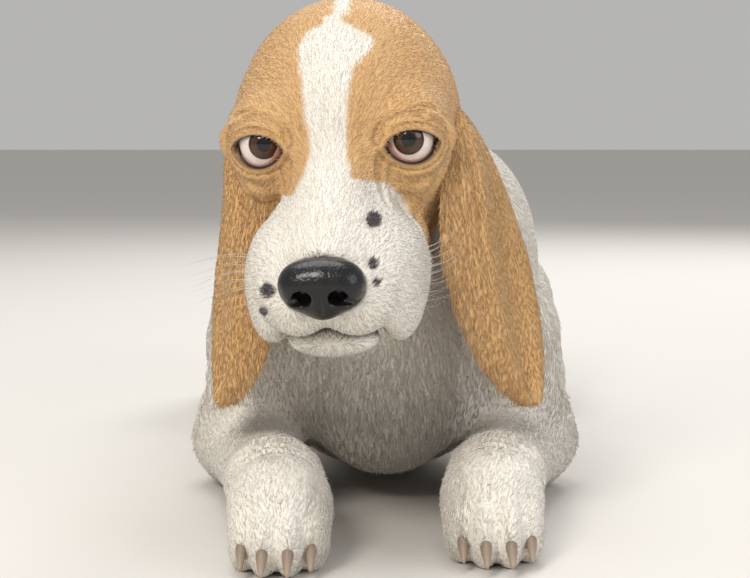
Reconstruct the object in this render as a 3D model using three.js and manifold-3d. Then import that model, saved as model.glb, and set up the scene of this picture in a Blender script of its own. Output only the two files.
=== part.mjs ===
// A life-size basset hound lying on its chest with its head up and a little turned.
// Millimetres, +Z up. The dog faces -Y, and its left side is +X.
// The flesh is one smooth form, blended from named masses. Thin cuts part it into head, neck, torso, legs and tail.
import * as THREE from "three";
import { mergeVertices } from "three/addons/utils/BufferGeometryUtils.js";
import Module from "manifold-3d";

const wasm = await Module();
wasm.setup();

// Driving sizes of an adult dog
const withersHeight = 236;
const chestHalfWidth = 110;
const chestDepth = 120;
const backHeight = 228;
const loinHalfWidth = 86;
const croupHeight = 206;
const neckRadius = 80;
const skullHalfWidth = 66;
const noseReach = 109;
const elbowSpread = 95;
const forepawSpread = 61;
const hindpawSpread = 123;
const rightPawAhead = 20;
const gap = 0.3;

const sides = [
  { name: "right", sign: -1, pawAhead: rightPawAhead },
  { name: "left", sign: 1, pawAhead: 0 },
];

// The head's own frame from a point between the eyes: across to the dog's left, ahead along the muzzle, and up
const headPitch = THREE.MathUtils.degToRad(24);
const headYaw = THREE.MathUtils.degToRad(5);
const headRoll = THREE.MathUtils.degToRad(2);
const betweenEyes = new THREE.Vector3(-30, -322, 237);
const ahead = new THREE.Vector3(
  -Math.sin(headYaw) * Math.cos(headPitch),
  -Math.cos(headYaw) * Math.cos(headPitch),
  -Math.sin(headPitch),
);
const across = new THREE.Vector3(Math.cos(headYaw), -Math.sin(headYaw), 0).applyAxisAngle(ahead, headRoll);
const upward = new THREE.Vector3().crossVectors(ahead, across);
const headFrame = new THREE.Matrix4().makeBasis(across, ahead, upward).setPosition(betweenEyes);
const intoHead = headFrame.clone().invert();
const onHead = (a, b, c) => new THREE.Vector3(a, b, c).applyMatrix4(headFrame);

// Smooth union and smooth cut of two distances
const join = (a, b, soft) => {
  const h = Math.max(soft - Math.abs(a - b), 0) / soft;
  return Math.min(a, b) - (h * h * soft) / 4;
};
const carve = (a, hollow, soft) => -join(-a, hollow, soft);

// An egg-shaped mass with its middle and three half sizes, turned about X in degrees
function ball(middle, half, turn = 0) {
  const c = Math.cos(THREE.MathUtils.degToRad(turn));
  const s = Math.sin(THREE.MathUtils.degToRad(turn));
  return (x, y, z) => {
    const dx = x - middle[0];
    const dy = (y - middle[1]) * c + (z - middle[2]) * s;
    const dz = (z - middle[2]) * c - (y - middle[1]) * s;
    const k0 = Math.hypot(dx / half[0], dy / half[1], dz / half[2]);
    const k1 = Math.hypot(dx / half[0] ** 2, dy / half[1] ** 2, dz / half[2] ** 2) + 1e-9;
    return (k0 * (k0 - 1)) / k1;
  };
}

// A round limb from one point to another, with a radius at each end
function limb(from, to, fromRadius, toRadius) {
  const run = [0, 1, 2].map((i) => to[i] - from[i]);
  const length2 = run[0] ** 2 + run[1] ** 2 + run[2] ** 2;
  return (x, y, z) => {
    const p = [x - from[0], y - from[1], z - from[2]];
    const t = THREE.MathUtils.clamp((p[0] * run[0] + p[1] * run[1] + p[2] * run[2]) / length2, 0, 1);
    const off = Math.hypot(p[0] - t * run[0], p[1] - t * run[1], p[2] - t * run[2]);
    return off - (fromRadius + (toRadius - fromRadius) * t);
  };
}

// Masses are pairs of a softness and a distance, blended in order
const blend = (masses) => (x, y, z) =>
  masses.reduce((d, [soft, mass]) => join(d, mass(x, y, z), soft), 1e6);
const both = (make) => sides.flatMap((side) => make(side.sign, side));

const skull = [
  [20, ball([0, -66, 0], [skullHalfWidth, 76, 52])], // cranium
  [20, ball([0, -74, 20], [44, 54, 34])], // dome
  [14, ball([0, -122, 20], [18, 20, 20])], // occiput
  [20, ball([0, -22, 8], [42, 40, 32])], // forehead
  ...both((s) => [
    [12, ball([s * 35, -6, 13], [21, 14, 11])], // brow
    [18, ball([s * 45, -32, -15], [21, 43, 34])], // cheek bone
    [14, ball([s * 44, -13, -2], [21, 22, 23])], // round the eye
    [20, ball([s * 38, -44, -46], [25, 38, 30])], // jaw muscle
  ]),
];
const muzzle = [
  [22, limb([0, -2, -14], [0, 88, -36], 27, 21)], // bridge
  ...both((s) => [
    [16, ball([s * 22, 54, -51], [27, 54, 28])], // side of the muzzle
    [12, ball([s * 37, 46, -71], [16, 43, 30])], // flew
    [12, ball([s * 40, 10, -76], [12, 34, 26])], // flew at the corner of the mouth
    [10, ball([s * 16, 93, -56], [19, 19, 20])], // whisker pad
  ]),
];
const lowerJaw = blend([
  [14, limb([0, -20, -66], [0, 74, -84], 26, 13)],
  [10, ball([0, 82, -86], [27, 15, 10])], // chin
]);

const trunk = [
  [30, ball([0, -70, chestDepth - 2], [chestHalfWidth, 172, chestDepth])], // rib cage
  [34, ball([0, -100, withersHeight - 48], [50, 95, 48])], // withers
  [34, ball([0, -214, 98], [62, 52, 80])], // forechest
  [34, ball([0, 40, backHeight - 78], [76, 160, 80])], // back
  [34, ball([0, 110, 104], [102, 185, 108])], // belly
  [34, ball([0, 170, backHeight - 100], [loinHalfWidth, 150, 92])], // loin
  [34, ball([0, 288, croupHeight - 82], [84, 92, 82])], // croup
  ...both((s) => [[30, ball([s * 62, -150, 160], [40, 70, 66])]]), // shoulder blade
  [40, limb([0, -140, 170], [-18, -240, 236], neckRadius, neckRadius - 18)], // neck
  [30, ball([-10, -258, 165], [30, 44, 64])], // dewlap
];

const foreToes = [[-19, -376], [-7, -390], [7, -390], [19, -376]];
const foreleg = (s, { pawAhead }) => [
  [22, limb([s * 76, -208, 112], [s * elbowSpread, -152, 38], 40, 33)], // upper arm
  [24, limb([s * elbowSpread, -156, 31], [s * 68, -300 - pawAhead, 31], 33, 26)], // forearm
  [14, limb([s * 67, -300 - pawAhead, 34], [s * 62, -348 - pawAhead, 30], 27, 29)], // pastern
  [12, ball([s * forepawSpread, -362 - pawAhead, 27], [28, 36, 30])], // foot
  ...foreToes.map(([dx, y]) => [6, ball([s * forepawSpread + dx, y - pawAhead, 17], [10, 24, 20])]),
];

const hindToes = [[-23, 190], [-8, 177], [9, 177], [24, 190]];
const hindleg = (s) => [
  [30, ball([s * 84, 278, 100], [50, 92, 84], 8)], // thigh
  [24, limb([s * 100, 232, 88], [s * 112, 176, 62], 56, 42)], // knee
  [18, limb([s * 112, 190, 52], [s * 112, 312, 34], 36, 24)], // shank
  [12, ball([s * 110, 330, 26], [19, 24, 25])], // hock
  [12, limb([s * 112, 318, 22], [s * 122, 226, 24], 20, 23)], // metatarsus
  [12, ball([s * hindpawSpread, 208, 24], [32, 34, 27])], // foot
  ...hindToes.map(([dx, y]) => [6, ball([s * hindpawSpread + dx, y, 15], [11, 21, 16])]),
];

// The tail lies back along the floor and curls to the dog's left: middle of each joint and its radius
const tailLine = [
  [0, 352, 132, 30],
  [1, 384, 104, 25],
  [3, 414, 72, 21],
  [10, 448, 42, 18],
  [28, 486, 22, 16],
  [58, 520, 13, 14],
  [96, 542, 10, 11],
  [138, 548, 6.3, 7],
];
const tail = tailLine.slice(1).map((to, i) => [i ? 4 : 16, limb(tailLine[i], to, tailLine[i][3], to[3])]);

// The whole dog, but for the jaw that makes the line of the mouth and for eyes, ears, nose and claws
const orbit = { across: 43, ahead: -1, up: 0, ball: 14.6, lid: 17.4, turnedOut: 16, lookDown: 0.05 };
const eyeHollows = both((s) => [ball([s * 47, 21, -5], [17, 13, 15])]);
const upperHead = blend([...skull, ...muzzle]);
const bodyForm = blend([...trunk, ...both(foreleg), ...both(hindleg), ...tail]);
const spot = new THREE.Vector3();
function inHead(x, y, z) {
  spot.set(x, y, z).applyMatrix4(intoHead);
  return [spot.x, spot.y, spot.z];
}
function flesh(x, y, z) {
  const h = inHead(x, y, z);
  const head = eyeHollows.reduce((d, hollow) => carve(d, hollow(...h), 12), upperHead(...h));
  return join(bodyForm(x, y, z), head, 26);
}
const jawForm = (x, y, z) => lowerJaw(...inHead(x, y, z));

// The nose leather, in the head's frame, with comma-shaped nostrils and the groove under it
const noseUp = -1;
const noseBody = blend([
  [8, ball([0, noseReach, -33 + noseUp], [22, 13, 12.5])],
  [8, ball([0, noseReach, -43 + noseUp], [14, 13, 13])],
  ...both((s) => [[6, ball([s * 13, noseReach, -37 + noseUp], [10.5, 12, 12])]]),
]);
const nostrils = both((s) => [
  ball([s * 10, noseReach + 12, -38 + noseUp], [5.2, 9, 4.6]),
  limb([s * 11.5, noseReach + 12, -40 + noseUp], [s * 21, noseReach + 5, -44 + noseUp], 2.6, 1.6),
]);
const philtrum = limb([0, noseReach + 15, -36 + noseUp], [0, noseReach + 12, -62 + noseUp], 1.6, 1.6);
const noseForm = (x, y, z) =>
  [...nostrils, philtrum].reduce((d, hollow) => carve(d, hollow(x, y, z), 1.5), noseBody(x, y, z));

// Meshes the zero surface of a distance in a box: a vertex in each crossed cell, a quad round each crossed edge
function surface(distance, low, high, cell) {
  const mid = low.map((v, i) => (v + high[i]) / 2);
  const half = low.map((v, i) => (high[i] - v) / 2);
  const walled = (x, y, z) =>
    Math.max(
      distance(x, y, z),
      Math.abs(x - mid[0]) - half[0],
      Math.abs(y - mid[1]) - half[1],
      Math.abs(z - mid[2]) - half[2],
    );
  const start = low.map((v) => v - 1.5 * cell);
  const count = half.map((h) => Math.ceil((2 * h + 3 * cell) / cell) + 1);
  const step = [1, count[0], count[0] * count[1]];
  const value = new Float32Array(count[0] * count[1] * count[2]);
  const place = (i, axis) => start[axis] + i * cell;
  for (let k = 0, n = 0; k < count[2]; k++)
    for (let j = 0; j < count[1]; j++)
      for (let i = 0; i < count[0]; i++, n++) value[n] = walled(place(i, 0), place(j, 1), place(k, 2));

  const vertexOf = new Int32Array(value.length).fill(-1);
  const vertices = [];
  const corner = (n, bits) => step.reduce((sum, stride, m) => sum + ((bits >> m) & 1) * stride, n);
  for (let k = 0; k < count[2] - 1; k++)
    for (let j = 0; j < count[1] - 1; j++)
      for (let i = 0; i < count[0] - 1; i++) {
        const n = i + j * step[1] + k * step[2];
        const sum = [0, 0, 0];
        let crossings = 0;
        for (let bits = 0; bits < 8; bits++)
          for (let axis = 0; axis < 3; axis++) {
            if (bits & (1 << axis)) continue;
            const a = value[corner(n, bits)];
            const b = value[corner(n, bits | (1 << axis))];
            if (a < 0 === b < 0) continue;
            crossings++;
            for (let m = 0; m < 3; m++) sum[m] += m === axis ? a / (a - b) : (bits >> m) & 1;
          }
        if (!crossings) continue;
        vertexOf[n] = vertices.length;
        vertices.push([i, j, k].map((v, m) => start[m] + (v + sum[m] / crossings) * cell));
      }

  // Each vertex slides onto the true surface
  for (const v of vertices)
    for (let pass = 0; pass < 4; pass++) {
      const d = walled(...v);
      const slope = [0, 1, 2].map((m) => {
        const shifted = [...v];
        shifted[m] += 0.5;
        const up = walled(...shifted);
        shifted[m] -= 1;
        return up - walled(...shifted);
      });
      const steep = Math.max(slope[0] ** 2 + slope[1] ** 2 + slope[2] ** 2, 0.05);
      const move = slope.map((g) => (-d * g) / steep);
      const shorten = Math.min(1, (0.4 * cell) / (Math.hypot(...move) + 1e-9));
      for (let m = 0; m < 3; m++) v[m] += move[m] * shorten;
    }

  const triangles = [];
  const span = (a, b) => Math.hypot(...[0, 1, 2].map((m) => vertices[a][m] - vertices[b][m]));
  for (let k = 1; k < count[2] - 1; k++)
    for (let j = 1; j < count[1] - 1; j++)
      for (let i = 1; i < count[0] - 1; i++) {
        const n = i + j * step[1] + k * step[2];
        for (let axis = 0; axis < 3; axis++) {
          const inside = value[n] < 0;
          if (inside === value[n + step[axis]] < 0) continue;
          const [u, v] = [step[(axis + 1) % 3], step[(axis + 2) % 3]];
          let [a, b, c, d] = [n - u - v, n - v, n, n - u].map((m) => vertexOf[m]);
          if (!inside) [b, d] = [d, b];
          if (span(a, c) <= span(b, d)) triangles.push(a, b, c, a, c, d);
          else triangles.push(a, b, d, b, c, d);
        }
      }
  // Where two sheets pinch together along an edge, a small plug joins them
  const uses = new Map();
  for (let t = 0; t < triangles.length; t++) {
    const [a, b] = [triangles[t], triangles[t % 3 === 2 ? t - 2 : t + 1]];
    const edge = Math.min(a, b) * vertices.length + Math.max(a, b);
    uses.set(edge, (uses.get(edge) ?? 0) + 1);
  }
  let made = solid(vertices.flat(), triangles);
  for (const [edge, faces] of uses) {
    if (faces === 2) continue;
    const [a, b] = [Math.floor(edge / vertices.length), edge % vertices.length];
    const at = vertices[a].map((v, m) => (v + vertices[b][m]) / 2);
    made = made.add(solidOf(new THREE.OctahedronGeometry(0.3 * cell + span(a, b), 1), placed(at)));
  }
  return made;
}

const solid = (points, triangles) =>
  new wasm.Manifold(
    new wasm.Mesh({
      numProp: 3,
      vertProperties: new Float32Array(points),
      triVerts: new Uint32Array(triangles),
    }),
  );

// A three.js geometry as a solid, set in place by a matrix, which may mirror it
function solidOf(geometry, matrix) {
  const bare = geometry.index ? geometry.toNonIndexed() : geometry.clone();
  bare.deleteAttribute("normal");
  bare.deleteAttribute("uv");
  const merged = mergeVertices(bare, 1e-4);
  return solid(merged.attributes.position.array, merged.index.array).transform(matrix.toArray());
}

const placed = (middle, turn = [0, 0, 0]) =>
  new THREE.Matrix4()
    .makeRotationFromEuler(new THREE.Euler(...turn.map(THREE.MathUtils.degToRad)))
    .setPosition(...middle);
const block = (middle, size, turn, grow = 0) =>
  solidOf(new THREE.BoxGeometry(...size.map((v) => v + 2 * grow)), placed(middle, turn));

// Only the largest closed surface of a solid is kept
function largest(shape) {
  return shape.decompose().reduce((a, b) => (b.volume() > a.volume() ? b : a));
}

// Each part of the flesh is what lies in its region, less the regions cut before it. Grain is its facets' size
const floorBlock = block([0, 60, -100], [900, 1300, 200]);
const neckSlope = THREE.MathUtils.degToRad(29.8);
const neckCut = new THREE.Vector3(0, Math.cos(neckSlope), Math.sin(neckSlope)).transformDirection(headFrame);
const headBack = onHead(0, -102, -25);
const headTop = 96;
const farReach = 200;
function headRegion(grow) {
  const basis = new THREE.Matrix4().makeBasis(
    across,
    neckCut,
    new THREE.Vector3().crossVectors(across, neckCut),
  );
  const inFront = basis.clone().setPosition(headBack.clone().addScaledVector(neckCut, farReach));
  const under = headFrame.clone().setPosition(onHead(0, 0, headTop));
  const wide = 3 * farReach;
  const deep = 2 * (farReach + grow);
  return solidOf(new THREE.BoxGeometry(wide, deep, wide), inFront).intersect(
    solidOf(new THREE.BoxGeometry(wide, wide, deep), under),
  );
}
const boxRegion = (middle, size, turn) => (grow) => block(middle, size, turn, grow);
const around = (middle, reach) => [middle.map((v, i) => v - reach[i]), middle.map((v, i) => v + reach[i])];

const regions = [
  ...both((s, { name, pawAhead }) => [
    {
      name: `forepaw_${name}`,
      grain: 11.5,
      within: boxRegion([s * 66, -375 - pawAhead, 40], [100, 138, 90]),
      bounds: around([s * 66, -375 - pawAhead, 38], [55, 80, 50]),
    },
    {
      name: `forearm_${name}`,
      grain: 16,
      within: boxRegion([s * 86, -217, 33], [78, 212, 84], [0, 0, s * 9]),
      bounds: around([s * 84, -218, 34], [72, 132, 60]),
    },
    {
      name: `upper_arm_${name}`,
      grain: 15,
      within: boxRegion([s * 112, -178, 78], [88, 104, 176], [-40, 0, 0]),
      bounds: around([s * 110, -180, 76], [60, 110, 100]),
    },
    {
      name: `hindpaw_${name}`,
      grain: 12,
      within: boxRegion([s * 124, 210, 20], [84, 104, 50]),
      bounds: around([s * 124, 210, 20], [54, 62, 36]),
    },
    {
      name: `lower_leg_${name}`,
      grain: 13,
      within: boxRegion([s * 121, 312, 32], [90, 100, 74]),
      bounds: around([s * 121, 312, 32], [56, 62, 50]),
    },
    {
      name: `thigh_${name}`,
      grain: 22,
      within: boxRegion([s * 122, 250, 96], [100, 246, 192]),
      bounds: around([s * 122, 250, 96], [64, 140, 112]),
    },
  ]),
  {
    name: "tail",
    grain: 14,
    within: boxRegion([40, 470, 60], [280, 178, 180]),
    bounds: around([60, 470, 66], [110, 108, 80]),
  },
  { name: "head", grain: 10.6, within: headRegion, bounds: around([-30, -325, 222], [96, 130, 124]) },
  {
    name: "neck",
    grain: 20,
    within: boxRegion([0, -251, 256], [240, 190, 200], [-44.3, 0, 0]),
    bounds: around([-10, -215, 215], [115, 130, 120]),
  },
  { name: "torso", grain: 30, within: null, bounds: around([0, 50, 118], [170, 350, 135]) },
];

const parts = new Map();
const cutBefore = [];
for (const { name, grain, within, bounds } of regions) {
  let whole = surface(flesh, ...bounds, grain);
  if (name === "head") whole = whole.add(surface(jawForm, ...bounds, grain));
  for (const cut of cutBefore) whole = whole.subtract(cut);
  if (within) {
    whole = whole.intersect(within(0));
    cutBefore.push(within(gap));
  }
  parts.set(name, largest(whole.subtract(floorBlock)));
}
// A shape less the named parts, with the gap all round them
const axes = [0, 1, 2];
const gapWays = axes.flatMap((axis) => [-gap, gap].map((v) => axes.map((m) => (m === axis ? v : 0))));
function clearOf(shape, ...names) {
  for (const name of names)
    for (const way of gapWays) shape = shape.subtract(parts.get(name).translate(way));
  return largest(shape);
}

// Eyes sit in sockets behind lids, which are a dome over the eyeball with a drooping slit through it
const slit = { halfWidth: 15.6, rise: 10, sag: 10, slant: 1.5, steps: 8 };
function slitOutline(s) {
  const points = [];
  const add = (t, height) => points.push(new THREE.Vector2(t * slit.halfWidth, height - s * slit.slant * t));
  for (let i = -slit.steps; i <= slit.steps; i++) {
    const t = i / slit.steps;
    add(t, slit.rise * (1 - t * t));
  }
  for (let i = slit.steps - 1; i > -slit.steps; i--) {
    const t = i / slit.steps;
    add(t, -slit.sag * (1 - t * t) ** 0.8);
  }
  return new THREE.Shape(points);
}
const eyes = [];
for (const { name, sign } of sides) {
  const centre = onHead(sign * orbit.across, orbit.ahead, orbit.up);
  const at = new THREE.Matrix4().setPosition(centre);
  const turned = THREE.MathUtils.degToRad(sign * orbit.turnedOut);
  const gaze = new THREE.Vector3(Math.sin(turned), Math.cos(turned), -orbit.lookDown).normalize();
  const right = new THREE.Vector3().crossVectors(gaze, new THREE.Vector3(0, 0, 1)).normalize();
  const top = new THREE.Vector3().crossVectors(right, gaze);
  const outward = new THREE.Matrix4().makeBasis(right, top, gaze.clone().negate());
  const slitFrame = new THREE.Matrix4().extractRotation(headFrame).multiply(outward).setPosition(centre);
  const through = 2.5 * orbit.lid;
  const opening = new THREE.ExtrudeGeometry(slitOutline(sign), { depth: through, bevelEnabled: false });
  opening.translate(0, 0, -through);
  const dome = solidOf(new THREE.SphereGeometry(orbit.lid, 16, 12), at);
  const socket = solidOf(new THREE.SphereGeometry(orbit.ball + gap, 14, 10), at);
  parts.set("head", parts.get("head").add(dome).subtract(solidOf(opening, slitFrame)).subtract(socket));
  eyes.push([`eye_${name}`, solidOf(new THREE.SphereGeometry(orbit.ball, 14, 10), at)]);
}

// The nose leather is seated on a flat across the front of the muzzle
const noseSeat = 104;
const noseBounds = [[-30, 90, -72], [30, 128, -12]];
const noseClearance = 1;
const aheadOf = (front) => block([0, front + 40, -38], [80, 80, 80]);
const nose = surface(noseForm, ...noseBounds, 4).intersect(aheadOf(noseSeat)).transform(headFrame.toArray());
const noseRoom = surface((x, y, z) => noseBody(x, y, z) - noseClearance, ...noseBounds, 5)
  .intersect(aheadOf(noseSeat - gap))
  .transform(headFrame.toArray());
parts.set("head", largest(parts.get("head").subtract(noseRoom)));

// An ear is a long leather that hangs from low on the skull, folds inwards along both edges and is rounded at its end
const earShapes = {
  right: { root: [-63, -64, -12], out: 14, hang: [-94, -282, 150], tip: [-99, -300, 78], turn: 24, width: 106 },
  left: { root: [63, -62, -6], out: 17, hang: [70, -278, 150], tip: [88, -300, 78], turn: 34, width: 106 },
};
const earThickness = 5;
const between = (t, stops) => {
  const i = Math.max(1, stops.findIndex(([at]) => at >= t - 1e-9));
  const [[a, va], [b, vb]] = [stops[i - 1], stops[i]];
  return THREE.MathUtils.lerp(va, vb, (t - a) / (b - a));
};
function earLeather({ name, sign }, acrossSteps = 8, downSteps = 15) {
  const ear = earShapes[name];
  const root = onHead(...ear.root);
  const line = new THREE.CubicBezierCurve3(
    root,
    root.clone().add(new THREE.Vector3(sign * ear.out * 1.6, 0, -14)),
    new THREE.Vector3(...ear.hang).add(new THREE.Vector3(0, 0, 42)),
    new THREE.Vector3(...ear.tip),
  );
  const middle = [];
  for (let j = 0; j <= downSteps; j++) {
    const v = j / downSteps;
    const down = line.getTangent(v);
    const turn = THREE.MathUtils.degToRad(8 + (ear.turn - 8) * v * v * (3 - 2 * v));
    const wide = new THREE.Vector3(sign * Math.sin(turn), Math.cos(turn), 0);
    wide.addScaledVector(down, -wide.dot(down)).normalize();
    const inward = new THREE.Vector3().crossVectors(down, wide).normalize();
    if (inward.x * sign > 0) inward.negate();
    const width = (ear.width / 108) * between(v, [
      [0, 50], [0.12, 58], [0.3, 80], [0.5, 98], [0.68, 108], [0.82, 98], [0.92, 72], [0.97, 46], [1, 16],
    ]);
    const curl = between(v, [[0, 0.75], [0.25, 0.9], [0.6, 0.8], [1, 0.5]]);
    const ripple = between(v, [[0, 0], [0.3, 2], [0.7, 5], [1, 3]]);
    const thick = earThickness * between(v, [[0, 1.6], [0.2, 1.1], [0.9, 0.9], [1, 0.6]]);
    for (let i = 0; i <= acrossSteps; i++) {
      const u = (2 * i) / acrossSteps - 1;
      const radius = width / 2 / curl;
      const depth = radius * (1 - Math.cos(u * curl)) + ripple * Math.sin(5.2 * u + 1 + 0.6 * sign);
      const at = line
        .getPoint(v)
        .addScaledVector(wide, radius * Math.sin(u * curl))
        .addScaledVector(inward, depth);
      middle.push({ at, half: (thick / 2) * (1 - 0.5 * Math.abs(u) ** 4) });
    }
  }
  const row = acrossSteps + 1;
  const id = (i, j) =>
    THREE.MathUtils.clamp(i, 0, acrossSteps) + row * THREE.MathUtils.clamp(j, 0, downSteps);
  const normals = middle.map((_, n) => {
    const [i, j] = [n % row, Math.floor(n / row)];
    const du = middle[id(i + 1, j)].at.clone().sub(middle[id(i - 1, j)].at);
    const dv = middle[id(i, j + 1)].at.clone().sub(middle[id(i, j - 1)].at);
    return du.cross(dv).normalize().multiplyScalar(sign);
  });
  const points = [];
  for (const face of [-1, 1])
    middle.forEach(({ at, half }, n) => points.push(...at.clone().addScaledVector(normals[n], face * half)));
  const triangles = [];
  const quad = (a, b, c, d) => triangles.push(a, b, c, a, c, d);
  const far = middle.length;
  for (let j = 0; j < downSteps; j++)
    for (let i = 0; i < acrossSteps; i++) {
      const [a, b, c, d] = [id(i, j), id(i + 1, j), id(i + 1, j + 1), id(i, j + 1)];
      quad(a, d, c, b);
      quad(far + a, far + b, far + c, far + d);
    }
  const rim = [];
  for (let i = 0; i < acrossSteps; i++) rim.push(id(i, 0));
  for (let j = 0; j < downSteps; j++) rim.push(id(acrossSteps, j));
  for (let i = acrossSteps; i > 0; i--) rim.push(id(i, downSteps));
  for (let j = downSteps; j > 0; j--) rim.push(id(0, j));
  rim.forEach((a, n) => {
    const b = rim[(n + 1) % rim.length];
    quad(a, b, far + b, far + a);
  });
  const made = solid(points, triangles);
  return made.volume() > 0 ? made : solid(points, triangles.reverse());
}
const ears = sides.map((side) => [
  `ear_${side.name}`,
  clearOf(earLeather(side), "head", "neck", "torso", `upper_arm_${side.name}`, `forearm_${side.name}`),
]);

// A claw grows out of each toe, curving down to a blunt point just off the floor
const clawRadius = 4.6;
const clawLength = 20;
const clawTipHeight = 6;
function claw(from, to) {
  const bend = from.clone().lerp(to, 0.55).add(new THREE.Vector3(0, 0, 3));
  const line = new THREE.QuadraticBezierCurve3(from, bend, to);
  const [rings, round] = [4, 6];
  const points = [...from];
  for (let j = 0; j < rings; j++) {
    const t = j / (rings - 1);
    const down = line.getTangent(t);
    const wide = new THREE.Vector3(0, 0, 1).cross(down).normalize();
    const high = new THREE.Vector3().crossVectors(down, wide);
    for (let i = 0; i < round; i++) {
      const angle = (i / round) * 2 * Math.PI;
      const r = clawRadius * (1 - 0.75 * t * t);
      const at = line.getPoint(t).addScaledVector(wide, r * 0.8 * Math.cos(angle));
      points.push(...at.addScaledVector(high, r * Math.sin(angle)));
    }
  }
  points.push(...to);
  const last = points.length / 3 - 1;
  const triangles = [];
  for (let i = 0; i < round; i++) {
    const next = (i + 1) % round;
    triangles.push(0, 1 + next, 1 + i);
    for (let j = 0; j < rings - 1; j++) {
      const [a, b] = [1 + j * round + i, 1 + j * round + next];
      triangles.push(a, b, b + round, a, b + round, a + round);
    }
    const end = 1 + (rings - 1) * round;
    triangles.push(end + i, end + next, last);
  }
  return solid(points, triangles);
}
const toeNames = ["outer", "third", "second", "inner"];
const claws = both((s, { name, pawAhead }) => {
  const order = s > 0 ? [...toeNames].reverse() : toeNames;
  const grown = (node, x, y, z, ...around) => [
    node,
    clearOf(claw(new THREE.Vector3(x, y, z), new THREE.Vector3(x, y - clawLength, clawTipHeight)), ...around),
  ];
  return [
    ...foreToes.map(([dx, y], i) =>
      grown(`fore_claw_${name}_${order[i]}`, s * forepawSpread + dx, y - pawAhead - 14, 18, `forepaw_${name}`),
    ),
    ...hindToes.map(([dx, y], i) =>
      grown(`hind_claw_${name}_${order[i]}`, s * hindpawSpread + dx, y - 12, 15, `hindpaw_${name}`, `thigh_${name}`),
    ),
  ];
});

// Colours of the lemon and white coat, the nose leather, the eyes and the horn of the claws
const finish = (hex, roughness) => new THREE.MeshStandardMaterial({ color: hex, roughness, metalness: 0 });
const white = finish(0xf1ebdf, 0.85);
const lemon = finish(0xd9b27c, 0.85);
const leather = finish(0x17151a, 0.45);
const dark = finish(0x1f1512, 0.15);
const horn = finish(0x5a4a3e, 0.5);

const dog = new THREE.Group();
function show(name, shape, material) {
  const { vertProperties, triVerts, numProp } = shape.getMesh();
  const points = new Float32Array((vertProperties.length / numProp) * 3);
  for (let i = 0; i < points.length / 3; i++)
    points.set(vertProperties.subarray(i * numProp, i * numProp + 3), i * 3);
  const geometry = new THREE.BufferGeometry()
    .setAttribute("position", new THREE.BufferAttribute(points, 3))
    .setIndex(new THREE.BufferAttribute(triVerts, 1));
  geometry.computeVertexNormals();
  const mesh = new THREE.Mesh(geometry, material);
  mesh.name = name;
  dog.add(mesh);
}
for (const [name, shape] of parts) show(name, shape, white);
for (const [name, shape] of ears) show(name, shape, lemon);
for (const [name, shape] of eyes) show(name, shape, dark);
for (const [name, shape] of claws) show(name, shape, horn);
show("nose", nose, leather);

// The part's origin is on the floor, under the middle of its outline
const extent = new THREE.Box3().setFromObject(dog, true);
const middle = extent.getCenter(new THREE.Vector3());
dog.position.set(-middle.x, -middle.y, -extent.min.z);
dog.updateMatrixWorld(true);

export default dog;
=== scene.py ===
import math

import bpy
import bmesh
import numpy as np
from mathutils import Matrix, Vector


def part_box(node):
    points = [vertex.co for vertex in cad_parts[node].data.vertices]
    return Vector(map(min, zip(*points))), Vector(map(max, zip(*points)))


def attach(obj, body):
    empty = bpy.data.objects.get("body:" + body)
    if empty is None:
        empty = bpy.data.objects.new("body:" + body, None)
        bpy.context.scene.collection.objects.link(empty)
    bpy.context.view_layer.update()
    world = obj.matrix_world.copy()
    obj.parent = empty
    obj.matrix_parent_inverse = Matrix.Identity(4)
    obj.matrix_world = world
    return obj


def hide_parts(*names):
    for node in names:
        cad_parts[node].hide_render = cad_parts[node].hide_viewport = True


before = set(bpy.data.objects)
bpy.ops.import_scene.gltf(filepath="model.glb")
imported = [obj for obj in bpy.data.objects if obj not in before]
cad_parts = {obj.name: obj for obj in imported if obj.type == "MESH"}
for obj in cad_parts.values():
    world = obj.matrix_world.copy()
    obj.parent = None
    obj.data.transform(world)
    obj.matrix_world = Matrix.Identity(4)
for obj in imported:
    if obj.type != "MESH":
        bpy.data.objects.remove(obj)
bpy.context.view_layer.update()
print("frame loaded")

# The dog is drawn in its own space in millimetres, as the solids were. It faces -Y, its left is +X
headSettings = {
    "betweenEyes": (-30.0, -322.0, 237.0), "pitch": 24.0, "yaw": 5.0, "roll": 2.0,
    "middle": (0, -20, -20), "reach": 230, "jawSoftness": 2.5, "neckSoftness": 26,
}
pitch, yaw, roll = (math.radians(headSettings[turn]) for turn in ("pitch", "yaw", "roll"))
ahead = np.array([-math.sin(yaw) * math.cos(pitch), -math.cos(yaw) * math.cos(pitch), -math.sin(pitch)])
level = np.array([math.cos(yaw), -math.sin(yaw), 0.0])
across = level * math.cos(roll) + np.cross(ahead, level) * math.sin(roll)
upward = np.cross(ahead, across)
headAxes = np.stack([across, ahead, upward], 1)
betweenEyes = np.array(headSettings["betweenEyes"])


def intoHead(p):
    return (p - betweenEyes) @ headAxes


def onHead(q):
    return np.asarray(q, float) @ headAxes.T + betweenEyes


def unit(vectors):
    return vectors / np.linalg.norm(vectors, axis=-1)[..., None]


# Which places lie within a reach of a middle, with the axes stretched.
def within(p, middle, reach, stretch=1):
    return np.linalg.norm((p - middle) / stretch, axis=1) < reach


def smoothMin(a, b, soft):
    h = np.maximum(soft - np.abs(a - b), 0.0) / soft
    return np.minimum(a, b) - h * h * soft * 0.25


def smoothMax(a, b, soft):
    return -smoothMin(-a, -b, soft)


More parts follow.
